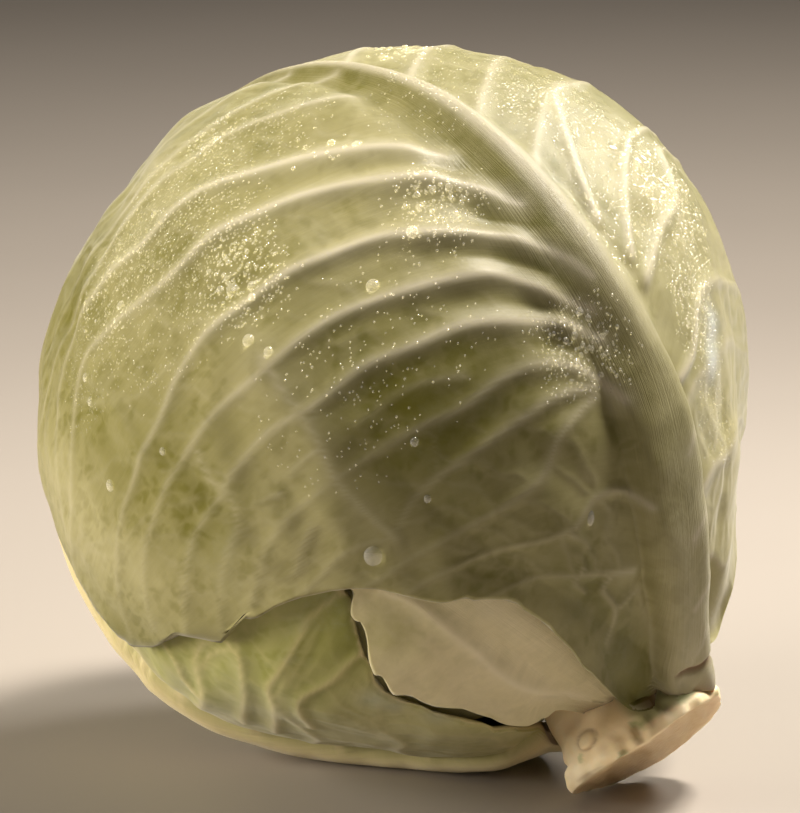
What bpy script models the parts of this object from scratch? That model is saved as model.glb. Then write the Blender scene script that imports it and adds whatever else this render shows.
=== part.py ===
"""A head of green cabbage, cut from its stalk and lying on its side.

The head is worked out upright, in millimetres, with its growing tip at +Z and
the cut stump at -Z, and is then leaned over onto the surface and turned into
metres. Every leaf is a flat blank that is thickened, and then wrapped round
the layers that lie inside it.
"""

import math
from dataclasses import dataclass

import bmesh
import bpy
import numpy as np
from mathutils import Matrix, Vector

MM = 0.001

# The head as a whole
HEAD_RADIUS = 90.0
HEAD_POLAR_RADIUS = 87.3
HEAD_LEAN = 43.5
HEAD_HEADING = 148.4
HEAD_CENTRE_HEIGHT = 87.4
NECK_RISE = 9.0
NECK_SPREAD = 20.0

# Swellings and flats of the head: angle from the stump, azimuth, height, spread
HEAD_LUMPS = (
    (62.0, -16.0, -6.0, 24.0),
    (42.0, 8.0, -4.0, 18.0),
    (52.0, 187.0, -4.0, 24.0),
    (42.0, 168.0, -3.5, 14.0),
    (54.0, 131.0, 2.5, 16.0),
    (14.0, 178.0, -4.0, 13.0),
    (104.0, -8.0, 1.6, 26.0),
)

# How the leaves are packed
LEAF_GAP = 1.2
COVER_MARGIN = 4.0
COVER_FALL = 22.0
SETTLE_SPREAD = 40.0
BLADE_THICKNESS = 1.0
BLADE_SWELL = 1.6
BLADE_SWELL_WIDTH = 22.0
PETIOLE_HALF_ANGLE = 27.0

# A midrib's section: how flat its crest is, how soft its foot, and the room that
# the next leaf out leaves beside it
RIB_FLATNESS = 2.4
RIB_ROUNDING = 1.3
RIB_ROOM = 5.0

# The waves of a margin: how many round the leaf, share of the height, shift
MARGIN_WAVES = ((23.0, 1.0, 1.0), (37.0, 0.6, 2.0))

# The blank's columns that lie on the midrib, each side, and how far they spread
RIB_COLUMNS = 2
RIB_SPREAD = 1.15

# The side veins: how they crowd and bend, where they rise, how much they sink
# outwards, over what share of the leaf they fade at its tip, and where they end
# along the margin
ROW_BIAS = 1.2
VEIN_BEND = 15.0
VEIN_START = 0.2
VEIN_SINK = 0.75
VEIN_TIP = 0.3
VEIN_ENDS = ((0.0, 174.0), (0.1, 141.0), (0.28, 96.0), (0.5, 74.0), (0.8, 41.0), (1.0, 3.0))
NARROW_VEIN_ENDS = ((0.0, 174.0), (0.12, 158.0), (0.26, 118.0), (0.4, 72.0), (0.6, 30.0), (1.0, 4.0))

# The stump: depths along its cone from the head's centre, then its cut end as
# radius and depth, and the lip that the cut has drawn out on one side
STUMP_HALF_ANGLE = 11.8
STUMP_DEPTHS = (35.0, 60.0, 84.0, 95.0, 98.4)
STUMP_END = ((20.6, 100.8), (19.4, 101.6), (12.0, 101.1), (0.0, 101.4))
STUMP_SIDES = 40
LIP_AZIMUTH = 186.0
LIP_SPREAD = 20.0
LIP_REACH = 2.8
LIP_START = 95.0
LIP_RISE = 2.5
LIP_RING = 15.0

# The heart: the tight inner leaves, which hold together as one body round the
# socket for the stump; a fold is angle from the stump, azimuth and size
HEART_SIDES = 36
HEART_RINGS = 18
HEART_STEP = 1.3
HEART_BLANK_RADIUS = 80.0
SOCKET_HALF_ANGLE = 12.05
SOCKET_DEPTHS = (33.0, 52.0)
HEART_FOLDS = ((118.0, -150.0, 62.0), (112.0, -12.0, 66.0), (122.0, 85.0, 60.0), (136.0, -80.0, 44.0))
FOLD_SOFTNESS = 7.0


@dataclass(frozen=True)
class Leaf:
    """One wrapped leaf; angles are in degrees, lengths in millimetres."""

    name: str
    azimuth: float
    centre: float
    base_angle: float
    tip: float
    outline: tuple
    lift: tuple
    rib_height: tuple
    rib_width: tuple
    rib_course: tuple
    vein_height: float
    wave: float
    rows: int
    columns: int
    colour: tuple
    vein_ends: tuple = VEIN_ENDS


OUTER_RIB = (
    (-90.0, 9.6), (-53.0, 10.0), (-30.0, 8.2), (-8.0, 6.6), (40.0, 3.2), (80.0, 1.6), (110.0, 1.2),
)
INNER_RIB = ((-90.0, 8.6), (-40.0, 7.0), (0.0, 5.0), (40.0, 3.0), (110.0, 1.5))
INNER_RIB_RISE = ((-90.0, 4.0), (-55.0, 2.0), (-25.0, 1.1), (0.0, 0.8), (50.0, 0.1), (110.0, 0.0))
PLAIN_LIFT = ((-180.0, 0.4), (-90.0, 0.0), (90.0, 0.0), (180.0, 0.4))

# Outermost leaf first; an outline's angle is 0 at the tip, 180 at the base and
# positive on the side of falling azimuth
LEAVES = (
    Leaf(
        name="leaf_1_front", azimuth=-51.5, centre=95.0, base_angle=12.1, tip=99.0,
        outline=(
            (-180.0, 82.4), (-173.0, 80.4), (-168.0, 81.6), (-160.0, 77.0), (-150.0, 72.0),
            (-136.0, 72.0), (-120.0, 80.0), (-104.0, 94.0), (-90.0, 103.0), (-60.0, 108.0),
            (-30.0, 105.0), (0.0, 102.0), (30.0, 107.0), (60.0, 112.0), (85.0, 114.0),
            (96.0, 110.6), (102.0, 96.0), (108.8, 90.6), (111.0, 81.4), (115.5, 72.7),
            (125.0, 65.8), (133.0, 65.0), (144.0, 62.6), (153.0, 65.5), (161.0, 72.4),
            (166.4, 78.3), (171.0, 83.2), (180.0, 82.4),
        ),
        lift=(
            (-180.0, 0.5), (-170.0, 2.5), (-158.0, 2.5), (-140.0, 1.0), (-100.0, 0.8),
            (0.0, 0.0), (90.0, 0.6), (125.0, 0.8), (145.0, 2.0), (158.0, 3.5),
            (169.0, 6.5), (180.0, 0.5),
        ),
        rib_height=(
            (-90.0, 6.6), (-60.0, 6.4), (-30.0, 5.2), (0.0, 4.0), (40.0, 2.2), (75.0, 0.6),
            (110.0, 0.2),
        ),
        rib_width=OUTER_RIB,
        rib_course=(
            (-90.0, -1.3), (-70.0, -0.8), (-55.0, -0.3), (-35.0, -0.8), (-12.0, 0.7), (20.0, 0.2),
            (110.0, 0.0),
        ),
        vein_height=1.5, wave=0.7,
        rows=34, columns=24, colour=(0.50, 0.52, 0.22, 1.0),
    ),
    Leaf(
        name="leaf_2_pale", azimuth=-103.0, centre=60.0, base_angle=12.1, tip=93.0,
        outline=(
            (-180.0, 47.4), (-172.0, 46.0), (-150.0, 47.0), (-120.0, 56.0), (-90.0, 68.0),
            (-60.0, 82.0), (-30.0, 94.0), (0.0, 96.0), (12.0, 88.0), (24.0, 62.0), (37.0, 30.0),
            (55.0, 15.0), (75.0, 10.6), (90.0, 13.2), (105.0, 14.6), (120.0, 22.0), (132.0, 26.5),
            (144.0, 27.2), (156.0, 29.0), (162.0, 33.5), (166.0, 40.5), (170.0, 42.5),
            (174.0, 43.0), (180.0, 47.4),
        ),
        lift=(
            (-180.0, 0.3), (0.0, 0.0), (75.0, 0.3), (132.0, 1.0), (156.0, 3.0),
            (168.0, 3.6), (180.0, 0.3),
        ),
        rib_height=(
            (-55.0, 3.6), (-30.0, 2.2), (-10.0, 1.2), (20.0, 0.8), (60.0, 0.2), (100.0, 0.0),
        ),
        rib_width=((-55.0, 8.6), (-10.0, 7.0), (30.0, 5.0), (60.0, 3.0), (100.0, 1.5)),
        rib_course=(
            (-55.0, -2.0), (-38.0, -3.6), (-19.0, -3.4), (-8.0, -2.0), (12.0, 0.0), (100.0, 0.0),
        ),
        vein_height=0.8, wave=0.5, vein_ends=NARROW_VEIN_ENDS,
        rows=24, columns=16, colour=(0.66, 0.62, 0.38, 1.0),
    ),
    Leaf(
        name="leaf_3_under", azimuth=161.0, centre=95.0, base_angle=12.6, tip=82.0,
        outline=(
            (-180.0, 81.9), (-172.0, 82.4), (-160.0, 82.0), (-150.0, 79.6), (-140.0, 76.0),
            (-118.0, 84.0), (-95.0, 88.0), (-60.0, 90.0), (-30.0, 88.0), (0.0, 84.0),
            (30.0, 88.0), (60.0, 88.0), (90.0, 80.0), (120.0, 70.0), (145.0, 66.0),
            (162.0, 74.0), (172.0, 82.0), (180.0, 81.9),
        ),
        lift=(
            (-180.0, 0.3), (-160.0, 0.8), (-130.0, 0.2), (0.0, 0.0), (90.0, 1.0),
            (140.0, 2.0), (165.0, 3.0), (180.0, 0.3),
        ),
        rib_height=(
            (-90.0, 2.6), (-60.0, 4.8), (-30.0, 5.0), (0.0, 4.2), (30.0, 2.0), (55.0, 0.5),
            (110.0, 0.0),
        ),
        rib_width=OUTER_RIB,
        rib_course=(
            (-90.0, 0.0), (-70.0, 2.0), (-52.0, 2.6), (-34.0, -2.5), (-15.0, -9.0), (8.0, -12.0),
            (40.0, -9.0), (84.0, 0.0),
        ),
        vein_height=1.2, wave=0.7,
        rows=28, columns=22, colour=(0.40, 0.46, 0.17, 1.0),
    ),
    Leaf(
        name="leaf_4_back", azimuth=33.0, centre=95.0, base_angle=12.1, tip=80.0,
        outline=(
            (-180.0, 82.4), (-170.0, 82.0), (-150.0, 72.0), (-120.0, 78.0), (-90.0, 84.0),
            (-45.0, 86.0), (0.0, 82.0), (45.0, 84.0), (90.0, 82.0), (120.0, 74.0),
            (150.0, 70.0), (170.0, 82.0), (180.0, 82.4),
        ),
        lift=PLAIN_LIFT, rib_height=INNER_RIB_RISE, rib_width=INNER_RIB,
        rib_course=((-90.0, 0.0), (-40.0, 1.5), (20.0, 3.0), (82.0, 0.0)),
        vein_height=0.9, wave=0.6, rows=20, columns=18, colour=(0.44, 0.49, 0.19, 1.0),
    ),
    Leaf(
        name="leaf_5_low_back", azimuth=112.0, centre=95.0, base_angle=12.1, tip=76.0,
        outline=(
            (-180.0, 82.4), (-170.0, 82.0), (-148.0, 70.0), (-120.0, 70.0), (-90.0, 76.0),
            (-45.0, 80.0), (0.0, 78.0), (45.0, 80.0), (90.0, 76.0), (120.0, 70.0),
            (148.0, 70.0), (170.0, 82.0), (180.0, 82.4),
        ),
        lift=PLAIN_LIFT, rib_height=INNER_RIB_RISE, rib_width=INNER_RIB,
        rib_course=((-90.0, 0.0), (-40.0, -1.5), (20.0, -2.5), (78.0, 0.0)),
        vein_height=0.8, wave=0.6, rows=18, columns=16, colour=(0.54, 0.55, 0.28, 1.0),
    ),
    Leaf(
        name="leaf_6_right", azimuth=-12.0, centre=95.0, base_angle=12.1, tip=74.0,
        outline=(
            (-180.0, 82.4), (-170.0, 82.0), (-148.0, 70.0), (-120.0, 70.0), (-90.0, 74.0),
            (-45.0, 78.0), (0.0, 76.0), (45.0, 78.0), (90.0, 74.0), (120.0, 70.0),
            (148.0, 70.0), (170.0, 82.0), (180.0, 82.4),
        ),
        lift=PLAIN_LIFT, rib_height=INNER_RIB_RISE, rib_width=INNER_RIB,
        rib_course=((-90.0, 0.0), (-40.0, 1.0), (20.0, 2.5), (76.0, 0.0)),
        vein_height=0.8, wave=0.6, rows=18, columns=16, colour=(0.62, 0.60, 0.36, 1.0),
    ),
)

# The leaf that the head lies on, and the spot that its weight presses flat
RESTING_LEAF = "leaf_3_under"
RESTING_THICKNESS = 1.2
RESTING_RADIUS = 15.0


def clear_scene():
    """Remove whatever objects the scene starts with."""
    for item in list(bpy.data.objects):
        bpy.data.objects.remove(item, do_unlink=True)


def smooth_curve(knots, at):
    """Return a cubic curve through (x, y) knots, read at the given x values."""
    xs, ys = np.array(knots, dtype=float).T
    slopes = np.gradient(ys, xs)
    i = np.clip(np.searchsorted(xs, at, side="right") - 1, 0, len(xs) - 2)
    span = xs[i + 1] - xs[i]
    q = np.clip((at - xs[i]) / span, 0.0, 1.0)
    rise = ys[i] * (1 + 2 * q) * (1 - q) ** 2 + ys[i + 1] * q * q * (3 - 2 * q)
    return rise + span * q * (1 - q) * (slopes[i] * (1 - q) - slopes[i + 1] * q)


def smooth_step(value):
    """Rise smoothly from 0 to 1 as the value goes from 0 to 1."""
    value = np.clip(value, 0.0, 1.0)
    return value * value * (3 - 2 * value)


def head_direction(angle, azimuth):
    """Return unit directions at an angle from the stump and an azimuth, in degrees."""
    angle, azimuth = np.broadcast_arrays(np.radians(angle), np.radians(azimuth))
    flat = np.sin(angle)
    return np.stack((flat * np.cos(azimuth), flat * np.sin(azimuth), -np.cos(angle)), axis=-1)


def leaf_axes(azimuth, centre_angle):
    """Return the directions of a leaf's centre, tip and positive side."""
    centre = head_direction(centre_angle, azimuth)
    tip = head_direction(centre_angle + 90.0, azimuth)
    return centre, tip, np.cross(centre, tip)


def to_leaf(directions, azimuth, centre_angle):
    """Return each direction's angle from a leaf's centre, and its bearing from the tip."""
    centre, tip, side = leaf_axes(azimuth, centre_angle)
    away = np.degrees(np.arccos(np.clip(directions @ centre, -1.0, 1.0)))
    bearing = np.degrees(np.arctan2(directions @ side, directions @ tip))
    return away, bearing


def from_leaf(along, across, leaf):
    """Return the directions of points on a leaf's flat map, in degrees from its centre."""
    centre, tip, side = leaf_axes(leaf.azimuth, leaf.centre)
    away = np.hypot(along, across)
    scale = np.sin(np.radians(away)) / np.maximum(away, 1e-6)
    return (
        np.cos(np.radians(away))[..., None] * centre
        + (scale * along)[..., None] * tip
        + (scale * across)[..., None] * side
    )


def reach(leaf, bearing):
    """Return how far a leaf's margin is from its centre, with its waves."""
    turn = np.radians(bearing)
    waves = sum(share * np.sin(count * turn + shift * leaf.azimuth) for count, share, shift in MARGIN_WAVES)
    ends = smooth_step((172.0 - np.abs(bearing)) / 14.0) * smooth_step((np.abs(bearing) - 4.0) / 16.0)
    return smooth_curve(leaf.outline, bearing) + leaf.wave * waves * ends


def cover(leaf, directions, start, fall):
    """Return 1 where a leaf lies, falling to 0 from a distance past its margin."""
    away, bearing = to_leaf(directions, leaf.azimuth, leaf.centre)
    return 1 - smooth_step((away - smooth_curve(leaf.outline, bearing) - start) / fall)


def rib_position(leaf, directions):
    """Return places along the leaf in degrees, and distances from its midrib in millimetres."""
    centre, tip, side = leaf_axes(leaf.azimuth, leaf.centre)
    along = np.degrees(np.arctan2(directions @ tip, directions @ centre))
    aside = np.degrees(np.arcsin(np.clip(directions @ side, -1.0, 1.0)))
    return along, np.radians(aside - smooth_curve(leaf.rib_course, along)) * HEAD_RADIUS


def rib(leaf, directions, widen=0.0):
    """Return the height of the midrib above the blade."""
    along, aside = rib_position(leaf, directions)
    width = smooth_curve(leaf.rib_width, along) + widen
    hump = np.clip(1 - np.abs(aside / width) ** RIB_FLATNESS, 0.0, 1.0) ** RIB_ROUNDING
    return smooth_curve(leaf.rib_height, along) * hump


def blade(leaf, directions):
    """Return the thickness of the blade, which swells towards the midrib."""
    along, aside = rib_position(leaf, directions)
    swell = np.exp(-((aside / BLADE_SWELL_WIDTH) ** 2)) * smooth_step((100.0 - along) / 120.0)
    return BLADE_THICKNESS + BLADE_SWELL * swell


def head_surface(directions):
    """Return the radius of the head's outer shape, without its ribs."""
    angle = np.degrees(np.arccos(np.clip(-directions[..., 2], -1.0, 1.0)))
    flat = np.sin(np.radians(angle)) / HEAD_RADIUS
    upright = np.cos(np.radians(angle)) / HEAD_POLAR_RADIUS
    radius = 1 / np.hypot(flat, upright) + NECK_RISE * np.exp(-((angle / NECK_SPREAD) ** 2))
    for lump_angle, lump_azimuth, height, spread in HEAD_LUMPS:
        lump = head_direction(lump_angle, lump_azimuth)
        away = np.degrees(np.arccos(np.clip(directions @ lump, -1.0, 1.0)))
        radius = radius + height * np.exp(-((away / spread) ** 2))
    return radius


def heart_surface(directions):
    """Return the radius that is left for the heart, inside all the loose leaves."""
    radius = head_surface(directions)
    for leaf in LEAVES:
        share = cover(leaf, directions, COVER_MARGIN + (COVER_FALL - SETTLE_SPREAD) / 2, SETTLE_SPREAD)
        radius = radius - share * (blade(leaf, directions) + leaf.vein_height + LEAF_GAP)
    return radius


def inner_surface(order, directions):
    """Return the radius of a leaf's inner side, outside everything that it wraps."""
    radius = heart_surface(directions) + LEAF_GAP
    for leaf in LEAVES[order + 1:]:
        height = blade(leaf, directions) + leaf.vein_height + rib(leaf, directions, RIB_ROOM)
        radius = radius + cover(leaf, directions, COVER_MARGIN, COVER_FALL) * (height + LEAF_GAP)
    return radius


def lean_matrix():
    """Return the matrix that leans the upright head over onto the surface."""
    heading = math.radians(HEAD_HEADING)
    hinge = Vector((-math.sin(heading), math.cos(heading), 0.0))
    return Matrix.Rotation(math.radians(HEAD_LEAN), 4, hinge)


def to_world(points):
    """Lean upright points over, and lift them to the head's height."""
    turn = np.array(lean_matrix().to_3x3())
    return points @ turn.T + np.array((0.0, 0.0, HEAD_CENTRE_HEIGHT))


def leaf_map(leaf, across, along):
    """Return the directions of a flat blank's points, and their bearing and share outwards.

    A row of the blank runs along a side vein, from the midrib to the margin.
    """
    row = ((along + 1) / 2) ** ROW_BIAS
    base = leaf.base_angle - leaf.centre
    start = base + (leaf.tip - base) * row
    side = np.sign(across)
    share = np.abs(across)
    ends = np.where(side > 0, smooth_curve(leaf.vein_ends, row), smooth_curve(VEIN_ENDS, row))
    bearing = side * ends
    end = reach(leaf, bearing)
    end_along = end * np.cos(np.radians(bearing))
    end_across = np.abs(end * np.sin(np.radians(bearing)))
    away = np.radians(np.maximum(np.abs(start), 1.0))
    stretch = away / np.sin(away)
    foot = np.degrees(RIB_SPREAD * smooth_curve(leaf.rib_width, start) / HEAD_RADIUS)
    foot = np.minimum(foot * stretch, 0.5 * end_across)
    rib_share = 2.0 * RIB_COLUMNS / leaf.columns
    inside = foot * share / rib_share
    outside = foot + (end_across - foot) * (share - rib_share) / (1 - rib_share)
    out = np.where(share <= rib_share, inside, outside)
    end_across = np.maximum(end_across, 1.0)
    bend = (1 - np.exp(-out / VEIN_BEND)) / (1 - np.exp(-end_across / VEIN_BEND))
    x = start + (end_along - start) * bend
    stray = smooth_curve(leaf.rib_course, start)
    y = side * out + stray * stretch * (1 - share)
    directions = from_leaf(x, y, leaf)
    turn = side * PETIOLE_HALF_ANGLE * share + stray / math.sin(math.radians(leaf.base_angle))
    base_row = head_direction(leaf.base_angle, leaf.azimuth - turn)
    directions = np.where((row < 1e-6)[..., None], base_row, directions)
    return directions, bearing, share


def leaf_points(order, leaf, across, along, outer):
    """Return the upright places of a blank's points, on its outer or inner side."""
    directions, bearing, share = leaf_map(leaf, across, along)
    lift = smooth_curve(leaf.lift, bearing) * share ** 3
    radius = inner_surface(order, directions) + lift
    row = np.rint((along + 1) / 2 * leaf.rows)
    crest = np.where(row % 2 == 0, 1.0, 0.0) * smooth_step((1 - row / leaf.rows) / VEIN_TIP)
    fade = smooth_step(share / VEIN_START) * (1 - VEIN_SINK * share ** 2)
    vein = leaf.vein_height * crest * fade
    radius = radius + np.where(outer, blade(leaf, directions) + vein + rib(leaf, directions), 0.0)
    return directions * radius[..., None]


def material_for(name, colour, roughness):
    """Return a Principled material of one colour."""
    material = bpy.data.materials.new(name)
    material.use_nodes = True
    shader = material.node_tree.nodes["Principled BSDF"]
    shader.inputs["Base Color"].default_value = colour
    shader.inputs["Roughness"].default_value = roughness
    shader.inputs["Metallic"].default_value = 0.0
    return material


def add_object(bm, name, colour, roughness):
    """Turn a finished mesh into a named object with its own material."""
    bmesh.ops.recalc_face_normals(bm, faces=bm.faces[:])
    if bm.calc_volume(signed=True) < 0:
        bmesh.ops.reverse_faces(bm, faces=bm.faces[:])
    mesh = bpy.data.meshes.new(name)
    bm.to_mesh(mesh)
    bm.free()
    mesh.shade_smooth()
    mesh.set_sharp_from_angle(angle=math.radians(35.0))
    mesh.materials.append(material_for(name, colour, roughness))
    piece = bpy.data.objects.new(name, mesh)
    bpy.context.scene.collection.objects.link(piece)
    return piece


def move_vertices(bm, points):
    """Put a mesh's vertices at world points given in millimetres."""
    for vertex, point in zip(bm.verts, points * MM):
        vertex.co = point


def make_leaf(order, leaf):
    """Cut, thicken and wrap one leaf."""
    bm = bmesh.new()
    bmesh.ops.create_grid(bm, x_segments=leaf.columns, y_segments=leaf.rows, size=1.0)
    bmesh.ops.triangulate(bm, faces=bm.faces[:], quad_method="ALTERNATE")
    bmesh.ops.solidify(bm, geom=bm.faces[:], thickness=0.1)
    blank = np.array([vertex.co for vertex in bm.verts])
    outer = np.abs(blank[:, 2]) > 0.05
    points = to_world(leaf_points(order, leaf, blank[:, 0], blank[:, 1], outer))
    if leaf.name == RESTING_LEAF:
        pressed = outer & (np.linalg.norm(points, axis=1) < RESTING_RADIUS)
        points[:, 2] = np.maximum(points[:, 2], np.where(outer, 0.0, RESTING_THICKNESS))
        points[pressed, 2] = 0.0
    move_vertices(bm, points)
    return add_object(bm, leaf.name, leaf.colour, 0.42)


def spin_profile(profile, sides):
    """Turn a profile of (radius, height) points round the upright axis."""
    bm = bmesh.new()
    verts = [bm.verts.new((radius, 0.0, height)) for radius, height in profile]
    edges = [bm.edges.new(pair) for pair in zip(verts, verts[1:])]
    bmesh.ops.spin(
        bm, geom=verts + edges, cent=(0, 0, 0), axis=(0, 0, 1), angle=math.tau,
        steps=sides, use_merge=True, use_duplicate=False,
    )
    bmesh.ops.remove_doubles(bm, verts=bm.verts[:], dist=0.01)
    return bm


def make_heart():
    """Turn the heart with its socket, and swell it to what the leaves leave free."""
    tangent = math.tan(math.radians(SOCKET_HALF_ANGLE))
    profile = [(0.0, -SOCKET_DEPTHS[0])]
    profile += [(depth * tangent, -depth) for depth in SOCKET_DEPTHS]
    for ring in range(HEART_RINGS + 1):
        angle = SOCKET_HALF_ANGLE + (180.0 - SOCKET_HALF_ANGLE) * ring / HEART_RINGS
        x, _, z = head_direction(angle, 0.0) * HEART_BLANK_RADIUS
        profile.append((x if ring < HEART_RINGS else 0.0, z))
    bm = spin_profile(profile, HEART_SIDES)
    points = np.array([vertex.co for vertex in bm.verts])
    length = np.linalg.norm(points, axis=1)
    skin = length > 0.9 * HEART_BLANK_RADIUS
    directions = points[skin] / length[skin, None]
    radius = heart_surface(directions) - HEART_STEP
    for angle, azimuth, size in HEART_FOLDS:
        away, _ = to_leaf(directions, azimuth, angle)
        radius = radius - HEART_STEP * smooth_step((away - size) / FOLD_SOFTNESS) / len(HEART_FOLDS)
    points[skin] = directions * radius[:, None]
    move_vertices(bm, to_world(points))
    return add_object(bm, "heart", (0.70, 0.68, 0.44, 1.0), 0.45)


def make_stump():
    """Turn the stump, with its cone inside the head and the lip at its cut end."""
    tangent = math.tan(math.radians(STUMP_HALF_ANGLE))
    profile = [(0.0, -STUMP_DEPTHS[0])]
    profile += [(depth * tangent, -depth) for depth in STUMP_DEPTHS]
    profile += [(radius, -depth) for radius, depth in STUMP_END]
    bm = spin_profile(profile, STUMP_SIDES)
    points = np.array([vertex.co for vertex in bm.verts])
    radius = np.hypot(points[:, 0], points[:, 1])
    azimuth = np.degrees(np.arctan2(points[:, 1], points[:, 0]))
    turn = np.abs((azimuth - LIP_AZIMUTH + 180.0) % 360.0 - 180.0)
    lip = LIP_REACH * np.exp(-((turn / LIP_SPREAD) ** 2))
    uneven = -0.5 - 0.35 * np.sin(np.radians(3 * azimuth + 40.0)) - 0.15 * np.sin(np.radians(7 * azimuth))
    flange = smooth_step((-points[:, 2] - LIP_START) / LIP_RISE) * (radius > LIP_RING)
    points[:, :2] *= (1 + flange * (lip + uneven) / np.maximum(radius, 1.0))[:, None]
    world = to_world(points)
    world[:, 2] = np.maximum(world[:, 2], 0.0)
    move_vertices(bm, world)
    return add_object(bm, "stump", (0.74, 0.62, 0.40, 1.0), 0.6)


def main():
    """Build the whole head."""
    clear_scene()
    make_stump()
    make_heart()
    for order, leaf in enumerate(LEAVES):
        make_leaf(order, leaf)


main()
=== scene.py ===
"""Dresses a packed head of green cabbage: its veined leaves, heart, stump and dew, in a small studio.

Shapes are worked out in millimetres in the head's own upright frame, with the growing tip at +Z and the
cut stump at -Z. `HeadShape.to_world` then leans the head over onto the surface and turns it into metres.
"""

import logging
import math
from dataclasses import dataclass
from enum import Enum
from itertools import product

import bmesh
import bpy
import numpy as np
from mathutils import Matrix, Vector
from mathutils.bvhtree import BVHTree


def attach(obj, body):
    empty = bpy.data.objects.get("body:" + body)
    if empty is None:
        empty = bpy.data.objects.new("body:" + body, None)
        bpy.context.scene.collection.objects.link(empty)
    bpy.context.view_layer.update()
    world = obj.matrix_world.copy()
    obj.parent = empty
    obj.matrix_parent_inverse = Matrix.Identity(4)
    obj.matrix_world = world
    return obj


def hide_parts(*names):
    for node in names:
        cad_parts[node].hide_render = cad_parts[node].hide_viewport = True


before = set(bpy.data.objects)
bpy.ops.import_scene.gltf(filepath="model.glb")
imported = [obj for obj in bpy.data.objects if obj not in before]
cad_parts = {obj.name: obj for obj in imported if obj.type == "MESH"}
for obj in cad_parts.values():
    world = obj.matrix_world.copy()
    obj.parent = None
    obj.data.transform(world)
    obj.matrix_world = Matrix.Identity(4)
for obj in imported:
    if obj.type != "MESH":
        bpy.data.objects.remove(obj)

LOG = logging.getLogger("cabbage")
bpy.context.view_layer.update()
MM = 0.001

Knots = tuple[tuple[float, float], ...]
Colour = tuple[float, float, float]
Pair = tuple[float, float]
Places = tuple[Pair, ...]
Socket = bpy.types.NodeSocket
Value = Socket | float | tuple


def smooth_curve(knots: Knots, at: np.ndarray) -> np.ndarray:
    """Reads a cubic curve that runs through a few points.

    Args:
        knots: The (x, y) points, with x rising.
        at: Where to read the curve.

    Returns:
        The curve's y at each x.
    """
    xs, ys = np.array(knots, dtype=float).T
    slopes = np.gradient(ys, xs)
    i = np.clip(np.searchsorted(xs, at, side="right") - 1, 0, len(xs) - 2)
    span = xs[i + 1] - xs[i]
    q = np.clip((at - xs[i]) / span, 0.0, 1.0)
    rise = ys[i] * (1 + 2 * q) * (1 - q) ** 2 + ys[i + 1] * q * q * (3 - 2 * q)
    return rise + span * q * (1 - q) * (slopes[i] * (1 - q) - slopes[i + 1] * q)


def smooth_step(value: np.ndarray) -> np.ndarray:
    """Rises smoothly from 0 to 1 as the value goes from 0 to 1."""
    value = np.clip(value, 0.0, 1.0)
    return value * value * (3 - 2 * value)


def unit(vectors: np.ndarray) -> np.ndarray:
    """Scales vectors to length 1."""
    return vectors / np.linalg.norm(vectors, axis=-1, keepdims=True)


def head_direction(angle: np.ndarray, azimuth: np.ndarray) -> np.ndarray:
    """Turns places on the head into unit directions.

    Args:
        angle: Degrees from the stump.
        azimuth: Degrees round the head's axis.

    Returns:
        Unit directions from the head's centre, upright.
    """
    angle, azimuth = np.broadcast_arrays(np.radians(angle), np.radians(azimuth))
    flat = np.sin(angle)
    return np.stack((flat * np.cos(azimuth), flat * np.sin(azimuth), -np.cos(angle)), axis=-1)


def angle_between(directions: np.ndarray, other: np.ndarray) -> np.ndarray:
    """Gives the angle in degrees between unit directions."""
    return np.degrees(np.arccos(np.clip(directions @ other, -1.0, 1.0)))


def stump_angle(directions: np.ndarray) -> np.ndarray:
    """Gives the angle in degrees between unit directions and the stump's."""
    return np.degrees(np.arccos(np.clip(-directions[..., 2], -1.0, 1.0)))


def turn_from(azimuth: np.ndarray, start: float) -> np.ndarray:
    """Gives how far azimuths are from a start, -180 to 180 degrees."""
    return (azimuth - start + 180.0) % 360.0 - 180.0


@dataclass(frozen=True)
class Ripple:
    """Smooth seeded unevenness over the head: a sum of plane waves of about one length."""

    seed: int
    length: float
    waves: int = 9
    lengths: Pair = (0.7, 1.5)

    def at(self, points: np.ndarray) -> np.ndarray:
        """Gives the unevenness, about -1 to 1, at points in millimetres.

        Args:
            points: Places in millimetres.

        Returns:
            The unevenness at each, about -1 to 1.
        """
        draw = np.random.default_rng(self.seed)
        heading = draw.normal(size=(self.waves, 3))
        heading /= np.linalg.norm(heading, axis=1, keepdims=True)
        pitch = math.tau / (self.length * draw.uniform(*self.lengths, self.waves))
        shift = draw.uniform(0.0, math.tau, self.waves)
        total = sum(np.sin(points @ heading[i] * pitch[i] + shift[i]) for i in range(self.waves))
        return total / math.sqrt(self.waves)


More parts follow.
